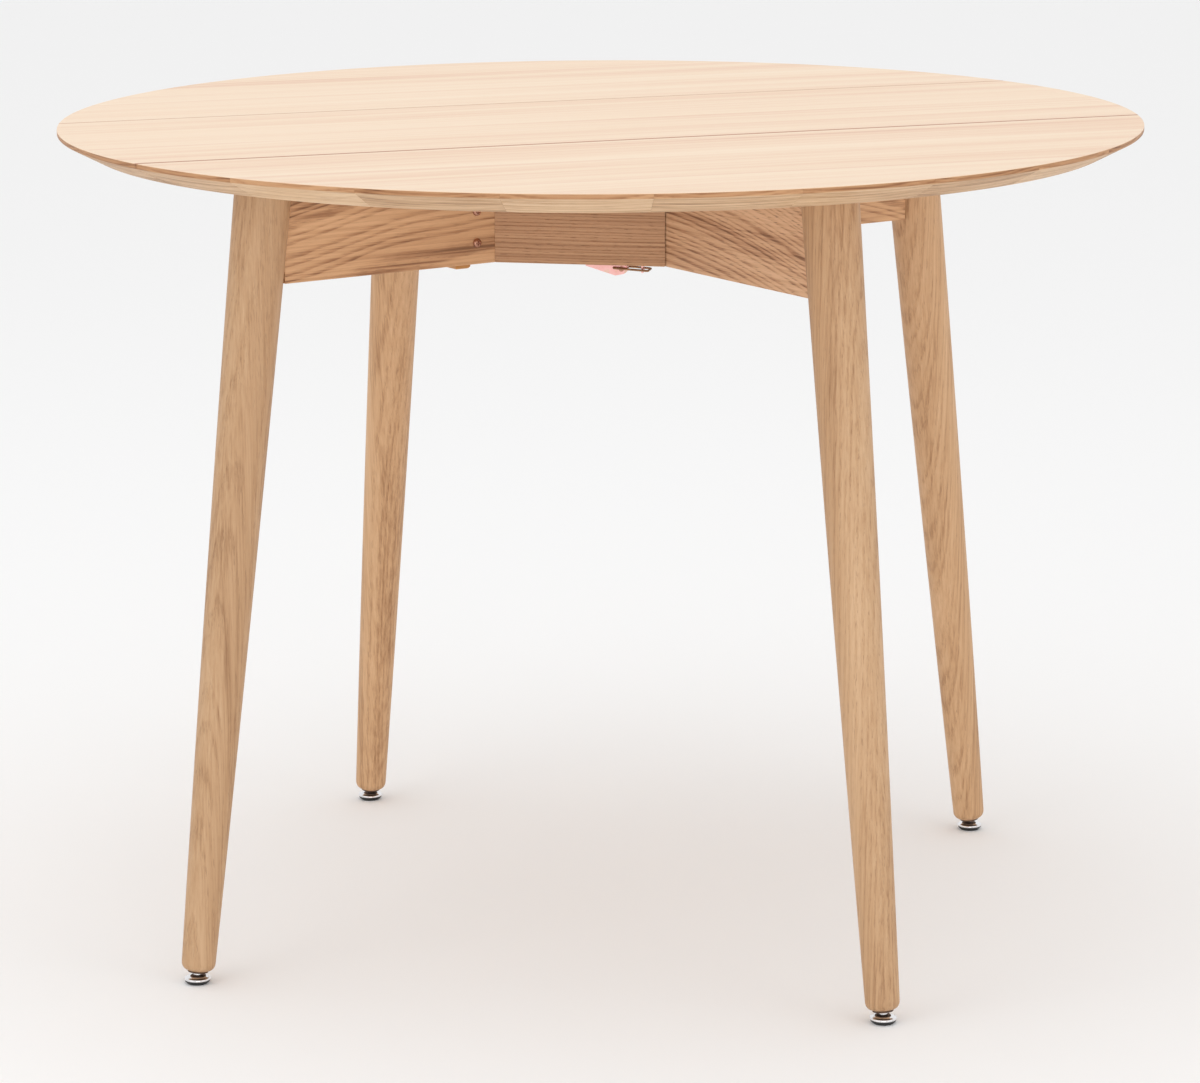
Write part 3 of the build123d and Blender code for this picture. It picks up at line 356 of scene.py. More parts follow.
def oak(name, grain, face, origin, colours, pith, ring, seed, lean=(0.0, 0.0), bow=(0.0, 0.0),
        wander=0.006, contrast=1.0, lines=0.45, flecks=0.42):
    """Plain oak. Growth rings are shells round the pith, which leans and bows away from the board's own
    line, so that they show as straight lines on one face and as arches on another. Each ring starts
    with a dark line of open pores. Wider bands of tone wander along the board."""
    r = Recipe(name, Roughness=OAK_ROUGHNESS, Specular_IOR_Level=LACQUER_SHINE)
    grain, face = unit(grain), unit(face)
    third = np.cross(grain, face)
    # a runs along the grain, u and v lie square to it
    a = r.along(grain, origin)
    u = r.along(face, origin)
    v = r.along(third, origin)
    drift = r.noise(r.vector(a * 3.2 + seed, u * 6.0, v * 6.0), 1.0, 2.0) - 0.5
    sway = r.noise(r.vector(a * 2.1 - seed, v * 5.0 + 7.3, u * 5.0), 1.0, 2.0) - 0.5
    across = u - pith[0] + a * lean[0] + drift * wander * 6
    bend = a - bow[1]
    upward = v - pith[1] + a * lean[1] + bend * bend * bow[0] + sway * wander * 6
    fine = r.noise(r.vector(a * 18.0 + seed, u * 160.0, v * 160.0), 1.0, 2.0) - 0.5
    depth = (across * across + upward * upward).math("SQRT")
    uneven = r.noise(r.vector(depth * 75.0, seed, 0.0), 1.0, 1.0)
    shells = depth / ring + uneven * 2.6 + fine * 0.5
    phase = shells.math("FRACT")
    early = r.step(phase, 0.0, 0.16) * (1 - r.step(phase, 0.22, 0.7))
    streak = r.noise(r.vector(a * 4.0 + seed, u * 520.0, v * 520.0), 1.0, 3.0, 0.6)
    dash = r.noise(r.vector(a * 95.0 + seed, u * 1500.0, v * 1500.0), 1.0, 1.0)
    pores = r.step(dash, 0.56, 0.68) * (0.25 + early * 0.75)
    tone = r.noise(r.vector(a * 1.3 + seed * 2, u * 26.0, v * 26.0), 1.0, 3.0, 0.55)
    ring_tone = r.noise(r.vector(shells * 0.31 + seed, a * 0.4, 0.0), 1.0, 1.0)
    broken = early * (0.45 + streak * 1.1)
    uneven_tone = (streak - 0.5) * 1.3 + (tone - 0.5) * 1.2 + (ring_tone - 0.5) * 0.7
    amount = (broken * lines + uneven_tone) * contrast + 0.36
    colour = r.ramp(amount, list(zip(TONE_STOPS, colours)))
    colour = r.mix(pores * flecks * contrast, colour, colours[3])
    r.set(r.shader.inputs["Base Color"], colour)
    r.set(r.shader.inputs["Roughness"], streak * 0.12 + (OAK_ROUGHNESS - 0.06))
    r.relief(streak * 0.35 - pores * 0.8 + early * 0.2, 0.35 * MM, 0.5)
    return r.material


VENEER_BAND = 0.118  # width of one sheet of veneer
VENEER_START = 0.37  # share of a sheet that lies past the table's middle line
SEAM_SHADE_WIDTH = 2.8 * MM  # width of the painted shade along each seam


def veneer_material():
    """Pale crown-cut veneer in bands laid side by side along the strip, under a matt lacquer."""
    r = Recipe("pale_oak_veneer", Roughness=0.42, Specular_IOR_Level=0.4)
    a = r.along(STRIP_WAY)
    v = r.along(ACROSS_WAY)
    bands = v / VENEER_BAND + VENEER_START
    number = bands.math("FLOOR")
    own = r.noise(r.vector(number * 3.71, 4.2, 1.0), 1.0, 0.0)
    edge = (bands.math("FRACT") - 0.5).math("ABSOLUTE")
    joint = r.step(edge, 0.4965, 0.4995)
    drift = r.noise(r.vector(a * 2.2, v * 3.0, number * 5.1), 1.0, 2.0) - 0.5
    bend = v + drift * 0.02
    lines = r.noise(r.vector(a * 1.3, bend * 95.0, number * 2.3), 1.0, 3.0, 0.6)
    broad = r.noise(r.vector(a * 0.8, bend * 26.0, number * 1.7), 1.0, 2.0)
    thin = r.step(r.noise(r.vector(a * 0.7, bend * 75.0, number * 4.9), 1.0, 1.0), 0.62, 0.74)
    # painted shade: the veneer is darkened along each seam, as if in the shadow of the gap between boards
    from_seam = (v.math("ABSOLUTE") - SEAM).math("ABSOLUTE")
    seam = 1 - r.step(from_seam, SEAM_SHADE_WIDTH - 1.2 * MM, SEAM_SHADE_WIDTH + 1.2 * MM)
    # the painted shade is stronger along the front seam
    seam = seam * (1 - r.step(v, -10 * MM, 10 * MM) * 0.5)
    dash = r.noise(r.vector(a * 36.0, v * 1400.0, 3.0), 1.0, 1.0)
    pores = r.step(dash, 0.56, 0.7)
    amount = (lines - 0.5) * 1.1 + (broad - 0.5) * 1.1 + (own - 0.5) * 0.5 + 0.42
    colour = r.ramp(amount, [
        (0.0, shade(248, 225, 198)), (0.4, shade(245, 218, 189)),
        (0.72, shade(238, 203, 173)), (1.0, shade(222, 180, 150)),
    ])
    colour = r.mix(pores * 0.10, colour, shade(214, 176, 144))
    colour = r.mix(thin * 0.28, colour, shade(224, 176, 146))
    colour = r.mix(joint * 0.4, colour, shade(206, 160, 128))
    colour = r.mix(seam, colour, shade(186, 128, 98))
    # painted shade: faces that don't look up, the veneer's sides in the seams and at the rim, are darkened
    side = 1 - r.step(r.facing(UP), 0.2, 0.7)
    colour = r.mix(side * 0.8, colour, shade(204, 166, 128))
    r.set(r.shader.inputs["Base Color"], colour)
    r.set(r.shader.inputs["Roughness"], lines * 0.1 + 0.37)
    r.relief(lines * 0.4 - pores, 0.2 * MM, 0.35)
    return r.material


def lipping_material():
    """Solid oak edge pieces: the grain of each follows its own chord, and each has its own tone."""
    r = Recipe("oak_edge_pieces", Roughness=OAK_ROUGHNESS, Specular_IOR_Level=LACQUER_SHINE)
    x, y, z = r.along(STRIP_WAY), r.along(ACROSS_WAY), r.along(UP)
    angle = y.math("ARCTAN2", x) + np.pi
    half_end = float(np.arcsin(SEAM / RIM))
    pitch = (np.pi - 2 * half_end) / LEAF_PIECES
    number = ((angle - half_end) / pitch).math("FLOOR")
    middle = (number + 0.5) * pitch + half_end - np.pi
    turn_c, turn_s = middle.math("COSINE"), middle.math("SINE")
    a = y * turn_c - x * turn_s
    u = x * turn_c + y * turn_s
    own = r.noise(r.vector(number * 7.31, 1.7, 0.3), 1.0, 0.0)
    drift = r.noise(r.vector(a * 7.0, u * 30.0, number * 3.3), 1.0, 2.0) - 0.5
    shells = (u + z * (0.4 + own * 1.4) + drift * 0.016) / 0.0042
    phase = shells.math("FRACT")
    early = r.step(phase, 0.02, 0.25) * (1 - r.step(phase, 0.4, 0.85))
    streak = r.noise(r.vector(a * 7.0, u * 260.0, z * 260.0 + number * 5.0), 1.0, 3.0, 0.6)
    dash = r.noise(r.vector(a * 60.0, u * 1500.0, z * 1500.0), 1.0, 1.0)
    pores = r.step(dash, 0.56, 0.68) * (0.3 + early * 0.7)
    amount = early * 0.32 + (streak - 0.5) * 1.9 + (own - 0.5) * 0.9 + 0.36
    colour = r.ramp(amount, [
        (0.0, shade(226, 194, 157)), (0.45, shade(209, 173, 135)),
        (0.8, shade(180, 141, 103)), (1.0, shade(142, 104, 72)),
    ])
    colour = r.mix(pores * 0.35, colour, shade(140, 98, 64))
    # painted shade: the upper band of the edge is darkened against the bevel below it
    band = r.step(z, BAND_BOTTOM - 0.6 * MM, BAND_BOTTOM + 0.6 * MM)
    colour = r.mix(band * 0.85, colour, shade(214, 184, 158), "MULTIPLY")
    r.set(r.shader.inputs["Base Color"], colour)
    r.relief(streak * 0.4 - pores, 0.3 * MM, 0.5)
    return r.material


def core_material():
    """Underside: plain oak backing veneer, with painted shade on the boards' side faces, which stand in the seam
    gaps.
    """
    r = Recipe("oak_backing", Roughness=0.55)
    a, v = r.along(STRIP_WAY), r.along(ACROSS_WAY)
    lines = r.noise(r.vector(a * 2.0, v * 150.0, 0.0), 1.0, 3.0, 0.6)
    broad = r.noise(r.vector(a * 0.8, v * 14.0, 2.0), 1.0, 2.0)
    colour = r.ramp((lines - 0.5) * 0.9 + (broad - 0.5) * 1.1 + 0.5, [
        (0.0, shade(224, 190, 150)), (0.5, shade(208, 170, 130)), (1.0, shade(176, 136, 98)),
    ])
    # painted shade: the boards' side faces are darkened
    side = 1 - r.step(r.facing(UP).math("ABSOLUTE"), 0.3, 0.7)
    colour = r.mix(side, colour, shade(150, 108, 74))
    r.set(r.shader.inputs["Base Color"], colour)
    r.relief(lines, 0.2 * MM, 0.4)
    return r.material


def metal(name, colours, roughness, scratch=0.15, spread=160.0):
    """Plated steel: tone drifts over it and fine scratches break up its shine."""
    r = Recipe(name, Metallic=1.0, Roughness=roughness)
    where = r.place()
    drift = r.noise(where, spread, 3.0, 0.6)
    fine = r.noise(where, 1800.0, 2.0, 0.6)
    stops = [(0.3 + 0.4 * i / max(len(colours) - 1, 1), colour) for i, colour in enumerate(colours)]
    r.set(r.shader.inputs["Base Color"], r.ramp(drift, stops))
    r.set(r.shader.inputs["Roughness"], fine * scratch + (roughness - scratch / 2))
    r.relief(fine, 0.04 * MM, 0.25)
    return r.material


def moulded(name, colour, dark, roughness):
    """Moulded plastic or rubber with a faint grain."""
    r = Recipe(name, Roughness=roughness)
    fine = r.noise(r.place(), 900.0, 3.0, 0.6)
    r.set(r.shader.inputs["Base Color"], r.mix(fine, dark, colour))
    r.set(r.shader.inputs["Roughness"], fine * 0.2 + (roughness - 0.1))
    r.relief(fine, 0.1 * MM, 0.5)
    return r.material


VENEER = veneer_material()
LIPPING = lipping_material()
BACKING = core_material()
CHROME = metal("polished_chrome", [shade(226, 226, 228), shade(240, 240, 242)], 0.13, 0.06)
BRONZE = metal("bronzed_steel", [shade(156, 108, 88), shade(198, 152, 130)], 0.36)
BROWN = metal("brown_plated_steel", [shade(84, 68, 58), shade(112, 90, 76)], 0.42)
ZINC = metal("bright_zinc", [shade(178, 180, 182), shade(205, 205, 204)], 0.34)
NICKEL = metal("hinge_nickel", [shade(188, 184, 176), shade(210, 206, 198)], 0.3)
PASSIVATED = metal(
    "yellow_passivated_zinc",
    [shade(204, 190, 140), shade(234, 176, 168), shade(240, 186, 180), shade(196, 190, 146)],
    0.3, spread=55.0,
)
DARK_WIRE = metal("passivated_wire", [shade(128, 96, 72), shade(176, 138, 104)], 0.32)
NYLON = moulded("black_nylon", shade(34, 34, 35), shade(22, 22, 23), 0.5)
RUBBER = moulded("grey_rubber", shade(66, 63, 60), shade(48, 46, 44), 0.75)
AMBER = moulded("amber_plastic", shade(196, 138, 70), shade(170, 110, 50), 0.4)


def paint(node, material):
    """A piece that keeps its CAD shape takes a finish."""
    NODES[node].data.materials.clear()
    NODES[node].data.materials.append(material)


# ---- table top ----
VENEER_EASE = 0.45 * MM
GLUE_LINE = 0.15 * MM


def seam_edge(board):
    """How far a board's straight edges lie from the table's middle line, and whether they move away from
    it (1) or towards it (-1) when the board is drawn in."""
    return (SEAM - SEAM_GAP / 2, -1) if board == "strip" else (SEAM + SEAM_GAP / 2, 1)


def half_turn(board):
    """Angle at which a leaf's half of the rim starts."""
    return 0 if board == "back_leaf" else np.pi


def round_rim(radius, turn):
    """Points at a radius and an angle from the strip's direction."""
    return radius * (np.cos(turn)[..., None] * STRIP_WAY + np.sin(turn)[..., None] * ACROSS_WAY)


def outline_of(board, inset, around=160):
    """One board's outline drawn in by an inset: arcs of the rim, joined by its straight seams."""
    edge, outward = seam_edge(board)
    radius = RIM - inset
    start = np.arcsin((edge + outward * inset) / radius)
    if board == "strip":
        ends = [np.linspace(middle - start, middle + start, around // 2) for middle in (0, np.pi)]
        turn = np.concatenate(ends)
    else:
        turn = np.linspace(start, np.pi - start, around) + half_turn(board)
    return round_rim(radius, turn)


def make_veneer(board):
    """The face of one board: its outline at each level, drawn in by a quarter round at the top edge.
    Both flats are strips of quads between the two halves of the outline."""
    rounding = ((1, 0), (0.45, 0.16), (0.12, 0.5), (0, 1))  # shares of the ease: below the top, drawn in
    rings = [outline_of(board, 0) + UP * VENEER_BOTTOM]
    for down, back in rounding:
        rings.append(outline_of(board, VENEER_EASE * back) + UP * (TOP - VENEER_EASE * down))
    rings = np.stack(rings)
    rows, columns = rings.shape[:2]
    number = np.arange(rows * columns).reshape(rows, columns)
    wrapped = np.hstack([number, number[:, :1]])
    sides = np.stack([wrapped[:-1, :-1], wrapped[:-1, 1:], wrapped[1:, 1:], wrapped[1:, :-1]], -1)
    quads = [sides.reshape(-1, 4)]
    for ring, turned in ((number[0], -1), (number[-1], 1)):
        one, two = ring[: columns // 2], ring[columns // 2 :][::-1]
        quads.append(np.stack([one[:-1], one[1:], two[1:], two[:-1]], 1)[:, ::turned])
    skin = Skin()
    skin.add(rings.reshape(-1, 3), np.vstack(quads))
    skin.piece(f"{board}_face", VENEER, f"{board}_veneer")


def make_lipping(board):
    """Edge pieces: a section of band, bevel and eased corners carried round the rim. Inner joints are cut
    along the radius. At a seam each point of the section stops where its own circle meets the seam."""
    section = softened(
        [(LIPPING_IN, VENEER_BOTTOM), (RIM, VENEER_BOTTOM), (RIM, BAND_BOTTOM),
         (UNDER_RIM, UNDERSIDE), (LIPPING_IN, UNDERSIDE)],
        [0, 0, 0.8 * MM, 1.0 * MM, 0],
    )
    radius, height = section.T
    half_end = np.arcsin(SEAM / RIM)
    glue = GLUE_LINE / RIM
    edge, outward = seam_edge(board)
    if board == "strip":
        runs = [(middle - half_end, middle + half_end, STRIP_PIECES) for middle in (0, np.pi)]
    else:
        runs = [(half_turn(board) + half_end, half_turn(board) + np.pi - half_end, LEAF_PIECES)]
    past_end = (half_end - np.arcsin(edge / radius)) * outward
    share = np.linspace(0, 1, 13)[:, None]
    skin = Skin()
    for begin, end, count in runs:
        joints = np.linspace(begin, end, count + 1)
        for n in range(count):
            first = begin - past_end if n == 0 else joints[n] + glue / 2
            last = end + past_end if n == count - 1 else joints[n + 1] - glue / 2
            ring = round_rim(radius[:, None], first * (1 - share) + last * share + 0 * radius)
            skin.grid(ring + height[:, None] * UP)
    skin.piece(f"{board}_edge", LIPPING, f"{board}_lipping")


for board in ("strip", "front_leaf", "back_leaf"):
    make_veneer(board)
    make_lipping(board)
    paint(f"{board}_core", BACKING)


# ---- legs and glides ----
LEGS = ("front_left", "front_right", "back_right", "back_left")
LEG_HEARTS = {  # which way the pith stood from the leg
    "front_left": (0.50, 0.87, 0), "front_right": (1.0, 0.35, 0),
    "back_right": (0.62, 0.78, 0), "back_left": (1.0, 0.1, 0),
}
LEG_SEEDS = {"front_left": 3.1, "front_right": 8.4, "back_right": 14.9, "back_left": 21.7}
LEG_TONES = {  # how light each leg's own stick of oak is, against the common oak
    "front_left": 0.87, "front_right": 0.90, "back_right": 1.01, "back_left": 1.04,
}
PITH_AWAY = 85 * MM
LEG_LEAN = 0.014
LEG_FOOT_ROUND = 8.0 * MM
LEG_BORE = 7.2 * MM  # the wood stops short of the threaded bush
BORE_REACH = 14.8 * MM  # points nearer the axis than this belong to the bore
DISH_LIFT = 2.5 * MM
FLAT_MIDDLE = 2.0 * MM  # radius of the flat that closes a turned end


def leg_line(leg):
    """Where the leg's axis meets the floor, and the way up it."""
    down = np.array(JOINTS[f"glide_{leg}_screw_out"]["axis"])
    middle = (low(f"{leg}_glide_pad") + high(f"{leg}_glide_pad")) / 2
    middle[2] = high(f"{leg}_glide_pad")[2] + DISH_LIFT
    return middle - down * (middle[2] / down[2]), -down


def from_line(spots, foot, up):
    """How far points lie along an axis, and how far from it."""
    along = (spots - foot) @ up
    return along, np.linalg.norm(spots - foot - along[:, None] * up, axis=1)


def make_leg(leg):
    """A turned leg. Its radius is a square function of the height, fitted to the outermost CAD points,
    with a round at the foot. Rings past the top are drawn back along the axis onto the top's underside."""
    foot, up = leg_line(leg)
    along, radius = from_line(points_of(f"{leg}_leg"), foot, up)
    start, end = along.min(), along.max() + 2 * MM
    wood_side = radius > BORE_REACH
    stations = np.linspace(start + 10 * MM, along.max() - 4 * MM, 24)
    taken = [(along[near].mean(), radius[near].max()) for station in stations
             if (near := (np.abs(along - station) < 16 * MM) & wood_side).any()]
    taper = np.polyfit(*np.array(taken).T, 2)
    higher = start + 50 * MM
    corner = soft_corner(
        (0, start), (np.polyval(taper, start), start), (np.polyval(taper, higher), higher), LEG_FOOT_ROUND, 9
    )
    body = np.linspace(start + LEG_FOOT_ROUND, end, 40)[1:]
    profile = np.vstack([[(LEG_BORE, start)], corner, np.stack([np.polyval(taper, body), body], 1)])
    rings = lathe(profile, foot, up, 72)
    over = (rings[..., 2] - high(f"{leg}_leg")[2])[..., None]
    rings = np.where(over > 0, rings - over / up[2] * up, rings)
    skin = Skin()
    skin.grid(rings)
    # seen square to its pith a leg shows straight lines, and seen from the far side of it long arches
    outward = unit([foot[0], foot[1], 0])
    heart = unit(LEG_HEARTS[leg]) * PITH_AWAY
    seed = LEG_SEEDS[leg]
    own_oak = [tuple(part * LEG_TONES[leg] for part in colour) for colour in LEG_OAK]
    wood = oak(
        f"{leg}_oak", up, outward, foot, own_oak, pith=(heart @ outward, heart @ np.cross(up, outward)),
        lean=(LEG_LEAN * np.sin(seed * 2), LEG_LEAN * np.cos(seed * 1.7)), ring=0.0052, seed=seed,
        wander=0.0026, contrast=0.8, lines=0.16, flecks=0.45,
    )
    skin.piece(f"{leg}_turned_leg", wood, f"{leg}_leg")


def make_glide(leg):
    """Chrome dish on its stud, and the nylon pad pressed into it: three profiles turned on a lathe."""
    pad_low, pad_high = low(f"{leg}_glide_pad"), high(f"{leg}_glide_pad")
    middle = (pad_low + pad_high) / 2
    middle[2] = 0
    bottom = pad_high[2]
    crown = bottom + 5.0 * MM
    rim = (high(f"{leg}_glide")[:2] - low(f"{leg}_glide")[:2]).min() / 2
    foot, up = leg_line(leg)
    stud_top = from_line(points_of(f"{leg}_glide"), foot, up)[0].max()
    dish = softened(
        [(FLAT_MIDDLE, bottom), (rim - 0.4 * MM, bottom), (rim, bottom + 0.9 * MM),
         (rim - 0.5 * MM, bottom + 2.0 * MM), (rim * 0.80, bottom + 2.6 * MM),
         (rim * 0.66, bottom + 4.1 * MM), (rim * 0.42, crown - 0.1 * MM), (FLAT_MIDDLE, crown)],
        [0, 0.3 * MM, 0.6 * MM, 0.7 * MM, 0.9 * MM, 1.0 * MM, 0.8 * MM, 0], closed=False,
    )
    stud = [(3.6 * MM, bottom / up[2] + 2.4 * MM), (3.9 * MM, bottom / up[2] + 2.8 * MM),
            (3.9 * MM, stud_top - 0.5 * MM), (3.4 * MM, stud_top)]
    skin = Skin()
    skin.grid(lathe(dish, middle, UP, 64))
    skin.grid(lathe(stud, foot, up, 32))
    skin.piece(f"{leg}_chrome_glide", CHROME, f"{leg}_glide")
    wide = (pad_high[0] - pad_low[0]) / 2
    tread = wide * 0.77
    tread_profile = softened(
        [(FLAT_MIDDLE, 0.0), (tread, 0.0), (wide - 0.3 * MM, bottom * 0.62), (wide, bottom - 0.2 * MM),
         (wide - 0.6 * MM, bottom), (FLAT_MIDDLE, bottom)],
        [0, 0.5 * MM, 0.5 * MM, 0.2 * MM, 0.2 * MM, 0], closed=False,
    )
    pad = Skin()
    pad.grid(lathe(tread_profile, middle, UP, 64))
    pad.piece(f"{leg}_nylon_pad", NYLON, f"{leg}_glide_pad")


def make_bushes(node, legs):
    """Threaded bushes, each a closed section turned on a lathe: a rolled collar under the wood, and the
    barrel inside it."""
    bore, barrel, collar = 4.1 * MM, 6.0 * MM, 1.6 * MM
    leg_reach = 30 * MM
    skin = Skin()
    for leg in legs:
        foot, up = leg_line(leg)
        along, across = from_line(points_of(node), foot, up)
        own = across < leg_reach
        start, end, wide = along[own].min(), along[own].max(), across[own].max()
        section = softened(
            [(bore, start), (wide, start), (wide, start + collar),
             (barrel, start + collar), (barrel, end), (bore, end)],
            [0.2 * MM, 0.7 * MM, 0.5 * MM, 0.1 * MM, 0.3 * MM, 0.2 * MM],
        )
        skin.grid(lathe(section, foot, up, 56).transpose(1, 0, 2), rows_meet=True)
    skin.piece(f"{node}_turned", BROWN, node)


for leg in LEGS:
    make_leg(leg)
    make_glide(leg)
make_bushes("fixed_leg_inserts", ["front_left", "back_right"])
make_bushes("front_gate_insert", ["front_right"])
make_bushes("back_gate_insert", ["back_left"])


# ---- rails ----
BOARD_EASE = 0.9 * MM
INTO_LEG = 2 * MM  # a planed board stops this far short of its CAD end, inside the leg


def way_at(degrees):
    turn = np.radians(degrees)
    return np.array([np.cos(turn), np.sin(turn), 0.0])


RAIL_THICK = float(2 * np.abs(points_of("cross_rail") @ way_at(-45)).max())
RAIL_MIDDLE = UP * (RAIL_BOTTOM + UNDERSIDE) / 2


def planed_board(start, end, thick, top, skew=(0.0, 0.0)):
    """A planed board: a section with eased corners carried from one end to the other. Each end is drawn
    in by the ease, in two steps. A skew is the slant of an end: its shift along the board for each unit
    of the distance across it."""
    way = unit(np.subtract(end, start))
    side = np.cross(UP, way)
    half, middle = thick / 2, (top + RAIL_BOTTOM) / 2
    tall = (top - RAIL_BOTTOM) / 2
    length = np.linalg.norm(np.subtract(end, start))
    ends = ((0, BOARD_EASE), (BOARD_EASE * 0.3, BOARD_EASE * 0.3), (BOARD_EASE, 0))
    rings = []
    for place, inset in [*ends, *[(length - place, inset) for place, inset in ends[::-1]]]:
        x, y = half - inset, tall - inset
        section = softened([(-x, -y), (x, -y), (x, y), (-x, y)], [BOARD_EASE] * 4)
        slant = section[:, 0] * (skew[0] * (1 - place / length) + skew[1] * place / length)
        line = np.asarray(start) + way * (place + slant)[:, None]
        rings.append(line + side * section[:, :1] + UP * (section[:, 1:] + middle))
    return np.stack(rings)


def make_cross_rail():
    """The board that joins the two fixed legs, from corner to corner."""
    out = way_at(45)
    end = float(np.abs(points_of("cross_rail") @ out).max()) - INTO_LEG
    wood = oak("cross_rail_oak", out, way_at(-45), RAIL_MIDDLE, RAIL_OAK, pith=(-0.042, 0.042),
               bow=(-0.45, -0.06), ring=0.0056, seed=5.2, wander=0.0044, lines=0.36)
    skin = Skin()
    skin.grid(planed_board(out * -end, out * end, RAIL_THICK, UNDERSIDE))
    skin.piece("planed_cross_rail", wood, "cross_rail")


def make_gate_arm(side, degrees, seed):
    """A gate's arm, from its hinge into its leg."""
    out = way_at(degrees)
    reach = points_of(f"{side}_gate_arm") @ out
    wood = oak(f"{side}_gate_arm_oak", out, way_at(degrees - 90), RAIL_MIDDLE, GATE_OAK, pith=(-0.06, 0.11),
               bow=(-0.55, 0.08), ring=0.0039, seed=seed, wander=0.0030, lines=0.32, flecks=0.8)
    skin = Skin()
    skin.grid(planed_board(out * reach.min(), out * (reach.max() - INTO_LEG), RAIL_THICK, GATE_TOP))
    skin.piece(f"{side}_planed_gate_arm", wood, f"{side}_gate_arm")


def make_spacer_rails():
    """The two short boards between the arms, mitred at both ends."""
    skin = Skin()
    for lump in lumps_of("spacer_rails"):
        front = np.sign(lump[:, 1].mean())
        near, far = np.abs(lump[:, 1]).min(), np.abs(lump[:, 1]).max()
        middle = front * (near + far) / 2
        outer = lump[np.abs(lump[:, 1]) > far - MM / 2][:, 0]
        inner = lump[np.abs(lump[:, 1]) < near + MM / 2][:, 0]
        left, right = (outer.min() + inner.min()) / 2, (outer.max() + inner.max()) / 2
        skin.grid(planed_board((left, middle, 0), (right, middle, 0), far - near, UNDERSIDE, (-front, front)))
    # the spacer boards take the darker, painted-shade copy of the rail oak
    wood = oak("shaded_spacer_oak", (1, 0, 0), (0, -1, 0), (0, -0.09, 0.69), SHADED_SPACER_OAK, pith=(0.03, 0.3),
               ring=0.0031, seed=2.2, wander=0.0016, contrast=0.7, lines=0.35, flecks=0.9)
    skin.piece("planed_spacer_rails", wood, "spacer_rails")


make_cross_rail()
make_gate_arm("front", -45, 11.3)
make_gate_arm("back", 135, 17.9)
make_spacer_rails()


# ---- screws ----
def screw_grid(spots, cross_depth=1.1 * MM):
    """A pan-head screw along its own lump of the frame: tip, shank, domed head and cross recess. The dome
    is a flattened quarter round. The recess is a dip in it where a point lies near one of two crossing
    lines and not too far from their crossing."""
    middle = spots.mean(0)
    axis = np.linalg.svd(spots - middle, full_matrices=False)[2][0]
    along, across = from_line(spots, middle, axis)
    if across[along > along.max() - NEAR].max() < across[along < along.min() + NEAR].max():
        axis, along = -axis, -along
    top, bottom, wide = along.max(), along.min(), across.max()
    thin = max(np.median(across[along < bottom + NEAR]), 0.3 * wide)
    under = along[across > wide * 0.97].min()
    brim = under + 0.25 * MM
    shaft = [(0.6 * MM, bottom), (thin * 0.9, bottom + 1.2 * MM), (thin, bottom + 2 * MM), (thin, under),
             (wide - 0.1 * MM, under)]
    share = np.linspace(1, 0.04, 12)
    dome = np.stack([wide * share, brim + (top - brim) * np.sqrt(1 - share**2.4)], 1)
    rows = np.vstack([shaft, dome])
    turn = np.linspace(0, 2 * np.pi, 40, endpoint=False)
    radius = rows[:, :1]
    from_cross = np.minimum(np.abs(radius * np.cos(turn)), np.abs(radius * np.sin(turn)))
    slot_side = np.clip((0.11 * wide + 0.12 * MM - from_cross) / (0.12 * MM), 0, 1)
    slot_end = np.clip((0.56 * wide - radius) / (0.18 * wide), 0, 1)
    cut = slot_side * slot_end
    cut[: len(shaft)] = 0
    height = rows[:, 1:] - cut * min(cross_depth, (top - under) * 0.75)
    first, second = side_ways(axis)
    ring = np.cos(turn)[:, None] * first + np.sin(turn)[:, None] * second
    return middle + radius[..., None] * ring + height[..., None] * axis


def make_screws(node, material):
    skin = Skin()
    for lump in lumps_of(node):
        skin.grid(screw_grid(lump))
    skin.piece(f"{node}_crosshead", material, node)


make_screws("stop_screws", BRONZE)
for group in ("frame", "front_gate", "back_gate", "front_leaf", "back_leaf"):
    make_screws(f"{group}_screws", ZINC)


# ---- parts that keep their CAD shape ----
BEECH = oak("corner_block_beech", (1, 0, 0), (0, 0, 1), (0, 0, 0.64), RAIL_OAK, pith=(0.2, 0.1),
            ring=0.003, seed=31.0, contrast=0.6)
FINISHES = (
    (NICKEL, ("gate_hinge_fixed_plates", "gate_hinge_pins", "front_gate_hinge_plate", "back_gate_hinge_plate",
              "leaf_hinge_strip_plates", "leaf_hinge_pins", "front_leaf_hinge_plates",
              "back_leaf_hinge_plates", "top_brackets")),
    (PASSIVATED, ("latch_base_front", "latch_hook_front", "latch_lever_front",
                  "latch_base_back", "latch_hook_back", "latch_lever_back")),
    (DARK_WIRE, ("latch_loop_front", "latch_loop_back")),
    (BRONZE, ("latch_rivets",)),
    (AMBER, ("fold_stops",)),
    (RUBBER, ("fold_stop_bumpers", "front_gate_pad", "back_gate_pad")),
    (BEECH, ("rail_dowels", "front_gate_dowels", "back_gate_dowels", "corner_blocks")),
)
for material, nodes in FINISHES:
    for node in nodes:
        paint(node, material)


# ---- floor, light and camera ----
FLOOR_REACH = 40.0
CAMERA_PLACE = (0.8273, -4.0362, 1.2589)
CAMERA_LOOKS = (-0.18422, 0.95781, -0.22061)
CAMERA_ROLL = -0.15  # degrees


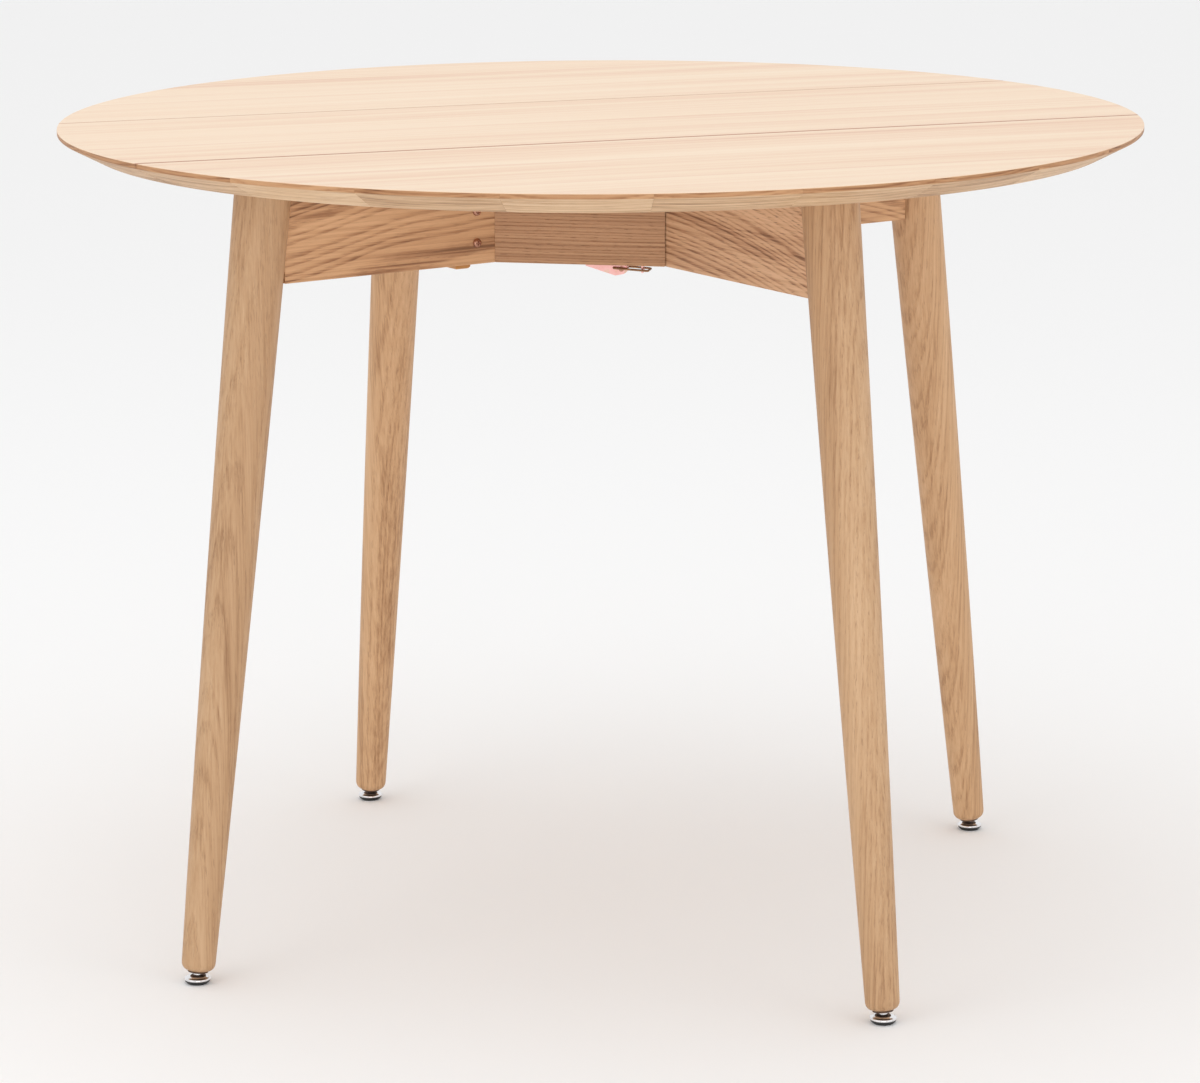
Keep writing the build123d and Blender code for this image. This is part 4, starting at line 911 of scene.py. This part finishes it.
def make_floor():
    """A plain pale floor."""
    x = y = FLOOR_REACH
    mesh = bpy.data.meshes.new("floor")
    mesh.from_pydata([(-x, -y, 0), (x, -y, 0), (x, y, 0), (-x, y, 0)], [], [(0, 1, 2, 3)])
    floor = bpy.data.objects.new("floor", mesh)
    bpy.context.scene.collection.objects.link(floor)
    mesh.materials.append(Recipe("pale_floor", Base_Color=(0.95, 0.95, 0.95), Roughness=0.9).material)


def make_light(name, place, size, power, target=(0, 0, 0.5)):
    """A square softbox that faces a point on the table."""
    lamp = bpy.data.lights.new(name, "AREA")
    lamp.shape, lamp.size, lamp.energy = "SQUARE", size, power
    holder = bpy.data.objects.new(name, lamp)
    turn = (Vector(target) - Vector(place)).to_track_quat("-Z", "Y").to_matrix().to_4x4()
    holder.matrix_world = Matrix.Translation(place) @ turn
    bpy.context.scene.collection.objects.link(holder)


def make_camera():
    """A long lens from the front, a little to the right and above, looking slightly down."""
    data = bpy.data.cameras.new("camera")
    data.lens, data.sensor_width = 133.8, 36.0
    data.shift_x, data.shift_y = -0.0471, 0.0236
    data.clip_end = 200.0
    camera = bpy.data.objects.new("camera", data)
    turn = Vector(CAMERA_LOOKS).to_track_quat("-Z", "Y").to_matrix().to_4x4()
    roll = Matrix.Rotation(np.radians(CAMERA_ROLL), 4, "Z")
    camera.matrix_world = Matrix.Translation(CAMERA_PLACE) @ turn @ roll
    bpy.context.scene.collection.objects.link(camera)
    bpy.context.scene.camera = camera


def make_world():
    """Even white light from all round."""
    world = bpy.data.worlds.new("studio")
    world.use_nodes = True
    sky = world.node_tree.nodes["Background"].inputs
    sky["Color"].default_value = (1, 1, 1, 1)
    sky["Strength"].default_value = 0.92
    bpy.context.scene.world = world


make_floor()
make_world()
make_light("overhead_softbox", (-0.6, -0.4, 3.6), 3.2, 12)
make_light("front_softbox", (-2.6, -3.4, 1.7), 2.4, 17)
make_light("right_fill", (3.2, -1.6, 1.2), 2.2, 10)
make_light("low_fill", (0.9, -3.6, 0.35), 2.0, 22, target=(0, 0, 0.7))
make_camera()
bpy.context.scene.view_settings.view_transform = "Standard"
